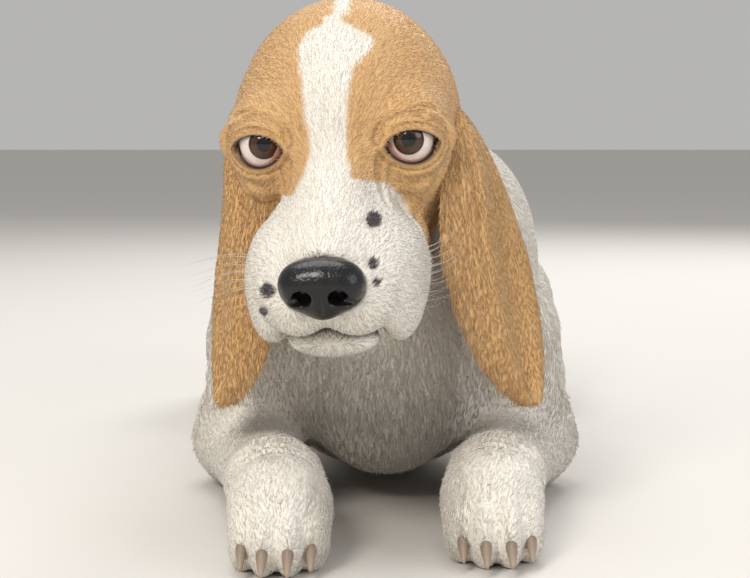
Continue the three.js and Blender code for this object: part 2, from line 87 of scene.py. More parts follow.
def ball(p, middle, half, tilt=0.0):
    q = p - np.array(middle, float)
    if tilt:
        c, s = math.cos(math.radians(tilt)), math.sin(math.radians(tilt))
        q = np.stack([q[:, 0], q[:, 1] * c + q[:, 2] * s, q[:, 2] * c - q[:, 1] * s], 1)
    half = np.array(half, float)
    k0 = np.sqrt(((q / half) ** 2).sum(1))
    k1 = np.sqrt(((q / half ** 2) ** 2).sum(1)) + 1e-9
    return k0 * (k0 - 1) / k1


def limb(p, start, end, startRadius, endRadius):
    start = np.array(start, float)
    run = np.array(end, float) - start
    q = p - start
    t = np.clip(q @ run / (run @ run), 0, 1)
    return np.sqrt(((q - t[:, None] * run) ** 2).sum(1)) - (startRadius + (endRadius - startRadius) * t)


def blend(p, masses, d=None):
    if d is None:
        d = np.full(len(p), 1e6)
    for soft, kind, *sizes in masses:
        d = smoothMin(d, kind(p, *sizes), soft)
    return d


# The masses of the body: softness of the blend, kind, sizes
bothSides = (-1, 1)
pawAhead = {-1: 20, 1: 0}
skull = [
    (20, ball, (0, -66, 0), (66, 76, 52)),  # cranium
    (20, ball, (0, -74, 20), (44, 54, 34)),  # dome
    (14, ball, (0, -122, 20), (18, 20, 20)),  # occiput
    (20, ball, (0, -22, 8), (42, 40, 32)),  # forehead
]
for s in bothSides:
    skull += [
        (12, ball, (s * 35, -6, 13), (21, 14, 11)),  # brow
        (18, ball, (s * 45, -32, -15), (21, 43, 34)),  # cheek bone
        (14, ball, (s * 44, -13, -2), (21, 22, 23)),  # round the eye
        (20, ball, (s * 38, -44, -46), (25, 38, 30)),  # jaw muscle
    ]
muzzle = [(22, limb, (0, -2, -14), (0, 88, -36), 27, 21)]  # bridge
for s in bothSides:
    muzzle += [
        (16, ball, (s * 22, 54, -51), (27, 54, 28)),  # side of the muzzle
        (12, ball, (s * 37, 46, -71), (16, 43, 30)),  # flew
        (12, ball, (s * 40, 10, -76), (12, 34, 26)),  # flew at the corner of the mouth
        (10, ball, (s * 16, 93, -56), (19, 19, 20)),  # whisker pad
    ]
lowerJaw = [
    (14, limb, (0, -20, -66), (0, 74, -84), 26, 13),
    (10, ball, (0, 82, -86), (27, 15, 10)),  # chin
]
trunk = [
    (30, ball, (0, -70, 118), (110, 172, 120)),  # rib cage
    (34, ball, (0, -100, 188), (50, 95, 48)),  # withers
    (34, ball, (0, -214, 98), (62, 52, 80)),  # forechest
    (34, ball, (0, 40, 150), (76, 160, 80)),  # back
    (34, ball, (0, 110, 104), (102, 185, 108)),  # belly
    (34, ball, (0, 170, 128), (86, 150, 92)),  # loin
    (34, ball, (0, 288, 124), (84, 92, 82)),  # croup
    (30, ball, (-62, -150, 160), (40, 70, 66)),  # shoulder blades
    (30, ball, (62, -150, 160), (40, 70, 66)),
    (40, limb, (0, -140, 170), (-18, -240, 236), 80, 62),  # neck
    (30, ball, (-10, -258, 165), (30, 44, 64)),  # dewlap
]
foreToes = [(-19, -376), (-7, -390), (7, -390), (19, -376)]
hindToes = [(-23, 190), (-8, 177), (9, 177), (24, 190)]


def foreleg(s):
    f = pawAhead[s]
    return [
        (22, limb, (s * 76, -208, 112), (s * 95, -152, 38), 40, 33),  # upper arm
        (24, limb, (s * 95, -156, 31), (s * 68, -300 - f, 31), 33, 26),  # forearm
        (14, limb, (s * 67, -300 - f, 34), (s * 62, -348 - f, 30), 27, 29),  # pastern
        (12, ball, (s * 61, -362 - f, 27), (28, 36, 30)),  # foot
    ] + [(6, ball, (s * 61 + dx, y - f, 17), (10, 24, 20)) for dx, y in foreToes]


def hindleg(s):
    return [
        (30, ball, (s * 84, 278, 100), (50, 92, 84), 8),  # thigh
        (24, limb, (s * 100, 232, 88), (s * 112, 176, 62), 56, 42),  # knee
        (18, limb, (s * 112, 190, 52), (s * 112, 312, 34), 36, 24),  # shank
        (12, ball, (s * 110, 330, 26), (19, 24, 25)),  # hock
        (12, limb, (s * 112, 318, 22), (s * 122, 226, 24), 20, 23),  # metatarsus
        (12, ball, (s * 123, 208, 24), (32, 34, 27)),  # foot
    ] + [(6, ball, (s * 123 + dx, y, 15), (11, 21, 16)) for dx, y in hindToes]


tailLine = [
    (0, 352, 132, 30),
    (1, 384, 104, 25),
    (3, 414, 72, 21),
    (10, 448, 42, 18),
    (28, 486, 22, 16),
    (58, 520, 13, 14),
    (96, 542, 10, 11),
    (138, 548, 6.3, 7),
]
tail = [(4, limb, a[:3], b[:3], a[3], b[3]) for a, b in zip(tailLine[:-1], tailLine[1:])]
tail[0] = (16, *tail[0][1:])  # a softer blend into the croup

eyeSettings = {
    "across": 43.0, "ahead": -1.0, "up": 0.0, "ball": 14.6, "turnedOut": 16.0, "lookDown": 0.05,
    "lid": 2.6, "lidSoftness": 7, "socketGap": 0.5, "fineReach": 24, "bareReach": 15,
}
noseSettings = {"reach": 109.0, "lift": -1.0, "cell": 1.0, "boxMiddle": (0, 108, -39), "boxHalf": 34}


def noseBody(q):
    reach, lift = noseSettings["reach"], noseSettings["lift"]
    return blend(q, [
        (8, ball, (0, reach, -33 + lift), (22, 13, 12.5)),
        (8, ball, (0, reach, -43 + lift), (14, 13, 13)),
        (6, ball, (-13, reach, -37 + lift), (10.5, 12, 12)),
        (6, ball, (13, reach, -37 + lift), (10.5, 12, 12)),
    ])


# Loose skin: each fold is a groove along a path, with the skin swelling beside it (width and depth in mm)
headFolds = []
for s in bothSides:
    headFolds += [
        ([(s * 25, 15, -6), (s * 24, 24, -18), (s * 28, 36, -28)], 3.0, 2.4),  # from the eye to the muzzle
        ([(s * 62, -8, -16), (s * 55, 2, -38), (s * 46, 14, -54)], 4.0, 2.0),  # down the cheek
        ([(s * 24, 14, 7), (s * 32, 13, 19), (s * 45, 8, 23), (s * 58, -4, 16)], 2.4, 2.4),  # upper lid
        ([(s * 8, 8, 16), (s * 11, -8, 30), (s * 15, -30, 44)], 4.0, 1.1),  # up the forehead
        ([(s * 32, 16, -22), (s * 45, 11, -26), (s * 59, -1, -20)], 3.0, 1.5),  # under the lower lid
        ([(s * 58, -30, -46), (s * 50, -12, -64), (s * 44, 4, -80)], 5.0, 2.2),  # behind the flew
        ([(s * 46, 30, -52), (s * 50, 10, -66), (s * 46, -6, -84)], 4.0, 1.3),  # in the flew
    ]
bodyFolds = [
    ([(-46, -300, 134), (-36, -302, 106), (-24, -296, 70)], 6.0, 3.0),  # throat
    ([(28, -296, 136), (20, -302, 106), (10, -296, 70)], 6.0, 3.0),
    ([(-62, -232, 214), (-60, -262, 172), (-46, -282, 130)], 8.0, 3.0),  # neck
    ([(44, -240, 214), (50, -262, 172), (38, -284, 130)], 8.0, 3.0),
    ([(-78, -196, 200), (-84, -214, 160), (-70, -240, 118)], 9.0, 2.6),
    ([(70, -196, 200), (84, -214, 160), (70, -240, 118)], 9.0, 2.6),
]
for s in bothSides:
    f = pawAhead[s]
    for step, depth in ((0, 1.8), (13, 2.2), (27, 2.0), (42, 1.4)):
        y = -334 + step - f
        x = s * (63 + 0.14 * step)
        wrinkle = [(x - 26, y, 34), (x - 12, y - 4, 58), (x + 12, y - 3, 58), (x + 26, y + 2, 34)]
        bodyFolds.append((wrinkle, 3.2, depth))
    bodyFolds += [
        ([(s * 118, -176, 76), (s * 126, -160, 52), (s * 124, -140, 28)], 6.0, 2.4),  # elbow
        ([(s * 96, 152, 118), (s * 116, 168, 92), (s * 140, 176, 60)], 8.0, 2.4),  # before the knee
        ([(s * 128, 300, 74), (s * 140, 262, 56), (s * 146, 226, 48)], 6.0, 2.6),  # above the hock
        ([(s * 104, 236, 46), (s * 124, 240, 50), (s * 146, 240, 34)], 3.6, 1.8),
        ([(s * 104, 252, 46), (s * 126, 256, 50), (s * 146, 256, 32)], 3.6, 1.6),
    ]


def foldDepth(p, folds):
    push = np.zeros(len(p))
    for path, width, depth in folds:
        path = np.array(path, float)
        reach = 4 * width
        near = np.nonzero(((p > path.min(0) - reach) & (p < path.max(0) + reach)).all(1))[0]
        if not len(near):
            continue
        q = p[near]
        away = np.min([limb(q, a, b, 0, 0) for a, b in zip(path[:-1], path[1:])], axis=0)
        ends = np.minimum(np.linalg.norm(q - path[0], axis=1), np.linalg.norm(q - path[-1], axis=1))
        fade = np.clip(ends / (2.5 * width), 0.25, 1)
        groove = np.exp(-((away / width) ** 2)) - 0.45 * np.exp(-(((away - 2.1 * width) / width) ** 2))
        push[near] += depth * fade * groove
    return push


def eyeCentre(s):
    return np.array((s * eyeSettings["across"], eyeSettings["ahead"], eyeSettings["up"]))


def eyeFrame(s):
    out = math.radians(eyeSettings["turnedOut"]) * s
    gaze = np.array([math.sin(out), math.cos(out), -eyeSettings["lookDown"]])
    gaze /= np.linalg.norm(gaze)
    side = np.cross(gaze, (0, 0, 1))
    side *= s / np.linalg.norm(side)
    top = np.cross(side, gaze) * s
    return side, gaze, top  # side points away from the muzzle


# The slit between the lids, seen along the eye's axis: it droops at the outer corner and sags below
slit = {"halfWidth": 15.8, "rise": 10.2, "sag": 10.2, "slant": 1.5}


def slitEdges(x):
    t = np.clip(x / slit["halfWidth"], -1, 1)
    top = slit["rise"] * (1 - t * t) ** 0.8 - slit["slant"] * t
    low = -slit["sag"] * (1 - t * t) ** 0.7 - slit["slant"] * t
    return top, low


def headForm(q):
    d = blend(q, skull + muzzle)
    jaw = blend(q, lowerJaw)
    d = smoothMin(d, jaw, headSettings["jawSoftness"])
    lidBall = [eyeSettings["ball"] + eyeSettings["lid"]] * 3
    for s in bothSides:
        d = smoothMax(d, -ball(q, (s * 47, 21, -5), (17, 13, 15)), 12)  # hollow before the eye
    for s in bothSides:
        d = smoothMin(d, ball(q, eyeCentre(s), lidBall), eyeSettings["lidSoftness"])
    return d + foldDepth(q, headFolds)


# The skin with its lids shut and no nose.
def closedSkin(p):
    q = intoHead(p)
    inHead = within(q, headSettings["middle"], headSettings["reach"])
    head = np.full(len(p), 1e3)
    if inHead.any():
        head[inHead] = headForm(q[inHead])
    body = blend(p, trunk)
    for s in bothSides:
        body = blend(p, foreleg(s), body)
        body = blend(p, hindleg(s), body)
    body = blend(p, tail, body) + foldDepth(p, bodyFolds)
    d = smoothMin(body, head, headSettings["neckSoftness"])
    return np.maximum(d + coatDepth(p), -p[:, 2])


coatSettings = {"faceDepth": 0.8, "bodyDepth": 2.2, "footDepth": 1.0, "footHeight": 52}


# Low places ahead of the elbows or behind the flanks.
def nearFeet(p, height):
    return ((p[:, 1] < -290) | (p[:, 1] > 150)) & (p[:, 2] < height)


def coatDepth(p):
    away = np.linalg.norm(p - betweenEyes, axis=1)
    depth = np.interp(away, [130, 230], [coatSettings["faceDepth"], coatSettings["bodyDepth"]])
    foot = nearFeet(p, coatSettings["footHeight"])
    return np.where(foot, np.minimum(depth, coatSettings["footDepth"]), depth)


# Vertices and quads of the zero surface of a distance inside a box.
def netSurface(distance, low, high, cell, coarse=4):
    count = [int(math.ceil((h - l) / (cell * coarse))) * coarse + 1 for l, h in zip(low, high)]
    axes = [l + cell * np.arange(c) for l, c in zip(low, count)]
    rough = [a[::coarse] for a in axes]
    points = np.stack(np.meshgrid(*rough, indexing="ij"), -1).reshape(-1, 3)
    roughGrid = distance(points).reshape([len(a) for a in rough])
    near = np.abs(roughGrid) < cell * coarse * 2.0
    blocks = np.zeros([len(a) - 1 for a in rough], bool)
    corners = [(i, j, k) for i in (0, 1) for j in (0, 1) for k in (0, 1)]
    for i, j, k in corners:
        blocks |= near[i:i + blocks.shape[0], j:j + blocks.shape[1], k:k + blocks.shape[2]]
    grid = roughGrid
    for axis in range(3):
        grid = np.repeat(grid, coarse, axis)
    grid = grid[:count[0], :count[1], :count[2]].copy()
    need = np.zeros(count, bool)
    found = np.argwhere(blocks) * coarse
    for step in np.ndindex(coarse + 1, coarse + 1, coarse + 1):
        need[tuple((found + step).T)] = True
    spots = np.argwhere(need)
    places = np.stack([axes[a][spots[:, a]] for a in range(3)], 1)
    chunks = np.array_split(places, max(1, len(places) // 200000))
    grid[tuple(spots.T)] = np.concatenate([distance(c) for c in chunks])

    inside = grid < 0
    filled = sum(inside[i:i + count[0] - 1, j:j + count[1] - 1, k:k + count[2] - 1].astype(np.int8)
                 for i, j, k in corners)
    mixed = (filled > 0) & (filled < 8)
    cells = np.argwhere(mixed)
    index = np.full(mixed.shape, -1, np.int64)
    index[mixed] = np.arange(len(cells))
    total = np.zeros((len(cells), 3))
    crossings = np.zeros(len(cells))
    for corner in corners:
        for axis in range(3):
            if corner[axis]:
                continue
            other = list(corner)
            other[axis] = 1
            a = grid[tuple((cells + corner).T)]
            b = grid[tuple((cells + other).T)]
            crossed = (a < 0) != (b < 0)
            t = np.where(crossed, a / np.where(crossed, a - b, 1), 0)
            at = np.tile(np.array(corner, float), (len(cells), 1))
            at[:, axis] += t
            total += at * crossed[:, None]
            crossings += crossed
    vertices = (cells + total / crossings[:, None]) * cell + np.array(low)
    quads = []
    for axis in range(3):
        u, v = [a for a in range(3) if a != axis]
        first = [slice(None)] * 3
        second = [slice(None)] * 3
        first[axis] = slice(0, count[axis] - 1)
        second[axis] = slice(1, count[axis])
        edges = np.argwhere(inside[tuple(first)] != inside[tuple(second)])
        for a in (u, v):
            edges = edges[(edges[:, a] > 0) & (edges[:, a] < count[a] - 1)]
        startsInside = inside[tuple(edges.T)]

        def cellBeside(du, dv):
            c = edges.copy()
            c[:, u] -= du
            c[:, v] -= dv
            return index[tuple(c.T)]

        quad = np.stack([cellBeside(1, 1), cellBeside(0, 1), cellBeside(0, 0), cellBeside(1, 0)], 1)
        turn = startsInside if axis == 1 else ~startsInside
        quad[turn] = quad[turn][:, ::-1]
        quads.append(quad)
    return slideOnto(distance, vertices, cell), np.concatenate(quads)


def slopeOf(distance, p, step=0.5):
    return np.stack([distance(p + e) - distance(p - e) for e in np.eye(3) * step], 1) / (2 * step)


def slideOnto(distance, vertices, cell, passes=3):
    for _ in range(passes):
        slope = slopeOf(distance, vertices)
        move = slope * (distance(vertices) / np.maximum((slope ** 2).sum(1), 0.05))[:, None]
        length = np.linalg.norm(move, axis=1)
        vertices = vertices - move * np.minimum(1, 0.5 * cell / np.maximum(length, 1e-9))[:, None]
    return vertices


# The row's frame: the dog's own space moved so that the origin is under the middle of its outline
cadEye = np.array(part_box("eye_left")).mean(0) * 1000
offset = cadEye - onHead(eyeCentre(1))
print("offset of the dog's space in mm:", [round(float(v), 3) for v in offset])


def newObject(name, data):
    piece = bpy.data.objects.new(name, data)
    bpy.context.scene.collection.objects.link(piece)
    return piece


# A mesh object from vertices in the dog's own millimetres and faces all of one size, or a list of faces.
def meshFrom(name, vertices, faces):
    mesh = bpy.data.meshes.new(name)
    vertices = (np.asarray(vertices, float) + offset) / 1000
    if isinstance(faces, np.ndarray):
        sides = faces.shape[1]
        mesh.vertices.add(len(vertices))
        mesh.loops.add(faces.size)
        mesh.polygons.add(len(faces))
        mesh.vertices.foreach_set("co", vertices.ravel())
        mesh.loops.foreach_set("vertex_index", faces.ravel().astype(np.int32))
        mesh.polygons.foreach_set("loop_start", np.arange(0, faces.size, sides, dtype=np.int32))
        mesh.update(calc_edges=True)
    else:
        mesh.from_pydata(vertices.tolist(), [], [tuple(int(i) for i in f) for f in faces])
    mesh.shade_smooth()
    mesh.validate()
    return newObject(name, mesh)


# One property of every item, a row for each.
def readAll(items, key, columns, kind=np.float32):
    flat = np.empty(len(items) * columns, kind)
    items.foreach_get(key, flat)
    return flat.reshape(-1, columns)


def placesOf(mesh):
    return readAll(mesh.vertices, "co", 3, float) * 1000 - offset


def setAttribute(mesh, name, values):
    layer = mesh.attributes.new(name, "FLOAT", "POINT")
    layer.data.foreach_set("value", np.asarray(values, np.float32))


def readAttribute(mesh, name):
    return readAll(mesh.attributes[name].data, "value", 1)[:, 0]


def smoothStep(edge0, edge1, x):
    t = np.clip((x - edge0) / (edge1 - edge0), 0, 1)
    return t * t * (3 - 2 * t)


# A smooth wandering value from -1 to 1 that repeats nowhere near.
def ripple(p, size, seed=0.0):
    x, y, z = (p / size).T
    return (np.sin(x * 1.7 + 2.1 * np.sin(y * 0.9 + seed) + seed)
            + np.sin(y * 1.9 + 1.7 * np.sin(z * 1.1 + 2 * seed) + 1.3)
            + np.sin(z * 2.3 + 1.9 * np.sin(x * 1.3 - seed) + 4.1)) / 3


# Markings: heights and half widths in mm of the white blaze, to the dog's right and left
blazeRight = [(129, 49), (148, 49), (162, 45), (176, 39), (190, 33), (207, 21), (218, 15), (232, 12),
              (259, 15.5), (276, 18.5), (290, 22), (302, 18), (307, 8), (330, 7)]
blazeLeft = [(129, 62), (148, 60), (165, 56), (177, 48), (190, 44), (207, 35), (213, 28), (216, 12),
             (232, 9.5), (259, 10), (279, 12), (290, 21), (297, 24), (303, 13), (308, 3), (330, 1)]
bodyPatches = [
    ((28, 30, 214), (92, 104, 84)),  # saddle
    ((-66, 262, 186), (66, 78, 66)),  # right of the rump
    ((12, 362, 150), (44, 66, 62)),  # root of the tail
    ((118, 296, 108), (44, 46, 44)),  # left thigh
    ((-84, -112, 196), (52, 58, 54)),  # right shoulder
    ((0, -168, 262), (84, 44, 46)),  # nape
    ((96, -40, 90), (40, 46, 34)),  # left ribs
]
# Each spot's x, z and radius
muzzleSpots = [(-7.8, 193, 4.6), (-8.3, 170, 3.2), (-6.4, 160, 2.4), (-66, 155, 4.4), (-69, 143, 3.0)]


# How lemon the coat is at a place, from 0, white, to 1.
def lemonShare(p):
    q = intoHead(p)
    z = p[:, 2]
    right = np.interp(z, *zip(*blazeRight))
    left = np.interp(z, *zip(*blazeLeft))
    behind = q[:, 1] < -58  # on top of the head the blaze is a thin line
    right = np.where(behind, 4, right)
    left = np.where(behind, 5, left)
    face = np.where(q[:, 0] < 0, -q[:, 0] - right, q[:, 0] - left)
    low = z < 205  # below the eyes the muzzle is white and the cheeks are lemon
    face = np.where(low, np.minimum(face, 14 - q[:, 1]), face)
    face = np.where(low & (q[:, 1] < 2) & (q[:, 2] > -70), np.maximum(face, 2 - q[:, 1]), face)
    face = np.minimum(face, q[:, 2] + 70 + 0.15 * q[:, 1])
    head = np.minimum(face, (q[:, 1] + 150) * 0.868 + (q[:, 2] + 10) * 0.497)
    body = np.full(len(p), -50.0)
    edge = 9 * ripple(p, 27) + 5 * ripple(p, 11, 2.0) + 2 * ripple(p, 4.5, 3.1)
    for middle, half in bodyPatches:
        body = np.maximum(body, -ball(p, middle, half) + edge)
    headSoft = smoothStep(-1.6, 1.6, head + 0.8 * ripple(p, 5, 1.0))
    return np.maximum(headSoft, smoothStep(-3, 3, body))


def spotShare(p):
    q = intoHead(p)
    spot = np.full(len(p), -9.0)
    for x, z, radius in muzzleSpots:
        away = np.hypot(p[:, 0] - x, p[:, 2] - z) * (1 + 0.1 * ripple(p, 2.5, x))
        spot = np.maximum(spot, radius - away)
    return smoothStep(-0.5, 0.7, spot) * (q[:, 1] > 22)


# Dark skin along the closed mouth.
def lipShare(q):
    upper = blend(q, skull + muzzle)
    lower = blend(q, lowerJaw)
    lip = 3.0 - np.abs(upper - lower) * 0.7
    ofMouth = (q[:, 2] < -40) & (np.maximum(np.abs(upper), np.abs(lower)) < 14)
    return smoothStep(-1.0, 0.8, np.minimum(lip, q[:, 1] - 12)) * ofMouth


# The skin: one closed surface, fine on the head and finest round the eyes, the nose and the mouth
skinSettings = {"cell": 5.0, "low": (-172, -446, -12), "high": (172, 570, 346)}


# The skin with sockets for the eyes and a seat for the nose.
def openSkin(p):
    d = closedSkin(p)
    q = intoHead(p)
    near = np.nonzero(within(q, (0, 50, -20), 110))[0]
    if not len(near):
        return d
    e, dn = q[near], d[near]
    for s in bothSides:
        side, gaze, top = eyeFrame(s)
        local = e - eyeCentre(s)
        x, y, z = local @ side, local @ gaze, local @ top
        up, down = slitEdges(x)
        opening = np.maximum.reduce([z - up - 1.6, down - 1.6 - z, np.abs(x) - slit["halfWidth"] - 1, -y])
        socket = eyeSettings["ball"] + eyeSettings["socketGap"] - np.linalg.norm(local, axis=1)
        dn = np.maximum(dn, np.minimum(socket, 8))
        dn = smoothMax(dn, -opening, 1.2)
    dn = smoothMax(dn, -(noseBody(e) - 0.3), 1.0)
    d[near] = dn
    return d


def makeSkin():
    vertices, quads = netSurface(openSkin, skinSettings["low"], skinSettings["high"], skinSettings["cell"])
    skin = meshFrom("skin", vertices, quads)
    mesh = skin.data
    for reachOf, cell in ((headZone, 2.5), (fineZone, 1.25)):
        work = bmesh.new()
        work.from_mesh(mesh)
        work.verts.ensure_lookup_table()
        chosen = reachOf(placesOf(mesh))
        edges = [e for e in work.edges if chosen[e.verts[0].index] and chosen[e.verts[1].index]]
        before = len(work.verts)
        bmesh.ops.subdivide_edges(work, edges=edges, cuts=1, use_grid_fill=True)
        bmesh.ops.triangulate(work, faces=[f for f in work.faces if len(f.verts) > 4])
        work.to_mesh(mesh)
        work.free()
        places = placesOf(mesh)
        moved = np.nonzero(reachOf(places))[0]
        places[moved] = slideOnto(openSkin, places[moved], cell)
        mesh.vertices.foreach_set("co", ((places + offset) / 1000).ravel())
        mesh.update()
        print("skin refined to", cell, "mm:", before, "to", len(mesh.vertices), "vertices")
    return skin


def headZone(p):
    q = intoHead(p)
    head = within(q, (0, 10, -25), 108, (1, 1.25, 1)) & (q[:, 1] > -60)
    f = np.where(p[:, 0] < 0, pawAhead[-1], 0)
    paw = (p[:, 1] < -318 - f) & (p[:, 2] < 70)
    return head | paw | ((p[:, 1] < 215) & (p[:, 1] > 140) & (p[:, 2] < 42) & (np.abs(p[:, 0]) > 84))


def fineZone(p):
    q = intoHead(p)
    eye = np.zeros(len(p), bool)
    for s in bothSides:
        eye |= within(q, eyeCentre(s) + (0, 6, 0), eyeSettings["fineReach"])
    nose = within(q, (0, 104, -38), 23, (1.3, 1, 1))
    upper = np.abs(blend(q, skull + muzzle))
    lower = np.abs(blend(q, lowerJaw))
    mouth = (np.maximum(upper, lower) < 9) & (q[:, 1] > 12) & (q[:, 2] < -42)
    return eye | nose | mouth


skin = makeSkin()
print("skin made:", len(skin.data.vertices), "vertices")


# A thin closed body from two grids of points, one over the other.
def closedSheet(outer, inner):
    rows, columns = outer.shape[:2]
    far = rows * columns
    vertices = np.concatenate([outer.reshape(-1, 3), inner.reshape(-1, 3)])
    ids = np.arange(far).reshape(rows, columns)
    quads = np.stack([ids[:-1, :-1], ids[:-1, 1:], ids[1:, 1:], ids[1:, :-1]], -1).reshape(-1, 4)
    rim = np.concatenate([ids[0, :-1], ids[:-1, -1], ids[-1, :0:-1], ids[:0:-1, 0]])
    following = np.roll(rim, -1)
    sides = np.stack([following, rim, far + rim, far + following], 1)
    return vertices, np.concatenate([quads, far + quads[:, ::-1], sides])


# Turns every face of a closed piece outwards.
def facedOut(piece):
    work = bmesh.new()
    work.from_mesh(piece.data)
    bmesh.ops.recalc_face_normals(work, faces=work.faces)
    if work.calc_volume(signed=True) < 0:
        bmesh.ops.reverse_faces(work, faces=work.faces)
    work.to_mesh(piece.data)
    work.free()
    return piece


# Quads between each ring of vertex numbers and the next.
def ringQuads(ids):
    beside = np.roll(ids, -1, 1)
    return np.stack([ids[:-1], beside[:-1], beside[1:], ids[1:]], -1).reshape(-1, 4)


# A closed piece from rings of points, with a point at each end.
def ringBody(name, rings, start, end):
    vertices = np.concatenate([rings.reshape(-1, 3), [start], [end]])
    ids = np.arange(len(vertices) - 2).reshape(rings.shape[:2])
    faces = ringQuads(ids).tolist()
    faces += [(b, a, ids.size) for a, b in zip(ids[0], np.roll(ids[0], -1))]
    faces += [(a, b, ids.size + 1) for a, b in zip(ids[-1], np.roll(ids[-1], -1))]
    return facedOut(meshFrom(name, vertices, faces))


# Places in the head's space from places along an eye's own axes.
def fromEye(s, x, y, z):
    side, gaze, top = eyeFrame(s)
    return eyeCentre(s) + x[..., None] * side + y[..., None] * gaze + z[..., None] * top


# How far ahead of the eye's middle the front of a ball lies, eased to 3 mm past the ball's edge.
def ballDepth(x, z, radius):
    return np.sqrt(np.maximum(radius ** 2 - x * x - z * z, 0) + 3 ** 2)


depthSearch = {"first": 30, "last": -14, "step": 0.4}


# How far ahead of the eye's middle the shut skin lies, along the eye's axis.
def skinDepth(s, x, z):
    base, gaze = fromEye(s, x, 0 * x, z), eyeFrame(s)[1]
    step = depthSearch["step"]
    found = np.full(x.shape, float(depthSearch["last"]))
    missing = np.ones(x.shape, bool)
    before = None
    for y in np.arange(depthSearch["first"], depthSearch["last"], -step):
        d = closedSkin(onHead((base + y * gaze).reshape(-1, 3))).reshape(x.shape)
        if before is not None:
            hit = missing & (d < 0)
            share = np.clip(before / np.maximum(before - d, 1e-6), 0, 1)
            found[hit] = (y + step - step * share)[hit]
            missing &= ~hit
        before = d
    return found


# The lids' rows by their distance outside the slit: on the skin, then over the ball with the gap to it
lidSettings = {
    "around": 80, "crease": 5.2, "creaseWidth": 0.9, "creaseDepth": 0.9, "leastOverBall": 1.2,
    "skinRows": (12, 10, 8, 6.8, 5.9, 5.2, 4.5, 3.6, 2.6, 1.6),
    "ballRows": ((0.8, 1.5), (0.25, 1.1), (0, 0.5), (0.6, 0.12), (3, 0.12), (7, 0.12)),
    "hiddenRow": 11, "hiddenDepth": 2.5,
}


def makeLids(s, name):
    count = lidSettings["around"]
    angle = np.linspace(0, 2 * np.pi, count, endpoint=False)
    x = slit["halfWidth"] * np.cos(angle)
    up, down = slitEdges(x)
    z = np.where(np.sin(angle) >= 0, up, down)
    away = unit(np.stack([0.8 * np.cos(angle), np.sin(angle)], 1))
    radius = eyeSettings["ball"]
    rows, rims = [], []

    def outside(reach):
        return x + reach * away[:, 0], z + reach * away[:, 1]

    for reach in lidSettings["skinRows"]:
        px, pz = outside(reach)
        crease = ((reach - lidSettings["crease"]) / lidSettings["creaseWidth"]) ** 2
        lift = np.interp(reach, [1.6, 7, 12], [0.5, 0.8, -0.7])
        lift -= lidSettings["creaseDepth"] * math.exp(-crease)
        least = ballDepth(px, pz, radius + lidSettings["leastOverBall"])
        rows.append((px, np.maximum(skinDepth(s, px, pz) + lift, least), pz))
        rims.append(np.interp(reach, [1.6, 3.0], [0.45, 0]))
    for reach, over in lidSettings["ballRows"]:
        px, pz = outside(reach)
        rows.append((px, ballDepth(px, pz, radius + over), pz))
        rims.append(1)
    px, pz = outside(lidSettings["hiddenRow"])
    hidden = skinDepth(s, px, pz) - lidSettings["hiddenDepth"]
    rows.append((px, np.minimum(hidden, ballDepth(px, pz, radius)), pz))
    rims.append(0)
    points = fromEye(s, *np.array(rows).transpose(1, 0, 2))
    ids = np.arange(len(rows) * count).reshape(len(rows), count)
    quads = ringQuads(np.concatenate([ids, ids[:1]]))
    lids = facedOut(meshFrom(name, onHead(points.reshape(-1, 3)), quads))
    setAttribute(lids.data, "rim", np.repeat(rims, count))
    return lids


irisSettings = {"radius": 8.7, "bulge": 1.2, "rings": 44, "around": 64, "lookAt": (-14.0, -1385.0, 165.0)}


def makeEye(s, name):
    centre = onHead(eyeCentre(s))
    look = unit(np.array(irisSettings["lookAt"]) - centre)
    right = unit(np.cross(look, (0, 0, 1)))
    over = np.cross(right, look)
    radius = eyeSettings["ball"]
    edge = math.asin(irisSettings["radius"] / radius)
    polar = np.pi * np.linspace(0, 1, irisSettings["rings"] + 1)[1:-1] ** 1.25
    turn = np.linspace(0, 2 * np.pi, irisSettings["around"], endpoint=False)
    swell = irisSettings["bulge"] * np.clip(1 - (polar / (edge * 1.12)) ** 2, 0, 1) ** 0.8
    ring = np.cos(turn)[:, None] * right + np.sin(turn)[:, None] * over
    ways = ring * np.sin(polar)[:, None, None] + np.cos(polar)[:, None, None] * look
    rings = centre + (radius + swell)[:, None, None] * ways
    eye = ringBody(name, rings, centre + (radius + irisSettings["bulge"]) * look, centre - radius * look)
    setAttribute(eye.data, "eyeAngle", [*np.repeat(polar / edge, len(turn)), 0, np.pi / edge])
    setAttribute(eye.data, "eyeTurn", [*np.tile(np.abs(turn / np.pi - 1), len(polar)), 0, 0])
    return eye


hawSettings = {"strip": 1.2, "corner": 5.5, "cornerFrom": 6.5, "behindLid": 2.2, "swell": 0.45}


# The pink inner skin that shows in the corner and over the slack lower lid.
def makeHaw(s, name):
    x = np.linspace(-slit["halfWidth"] + 0.2, slit["halfWidth"] - 1.5, 48)
    corner = np.clip(-x / hawSettings["cornerFrom"] - 1, 0, 1)
    strip = hawSettings["strip"] * (1 - (x / slit["halfWidth"]) ** 2) ** 0.5
    height = strip + hawSettings["corner"] * corner ** 1.5 + 0.2
    share = np.linspace(0, 1, 8)[:, None]
    z = slitEdges(x)[1] - hawSettings["behindLid"] + share * (height + hawSettings["behindLid"])
    x = np.broadcast_to(x, z.shape)
    swell = (hawSettings["swell"] + 0.5 * corner) * np.sin(np.pi * np.clip(share, 0.15, 0.93)) ** 0.5
    front = ballDepth(x, z, eyeSettings["ball"] + swell + 0.05)
    back = ballDepth(x, z, eyeSettings["ball"] - 0.8) - 0.6
    return facedOut(meshFrom(name, *closedSheet(*(onHead(fromEye(s, x, y, z)) for y in (front, back)))))


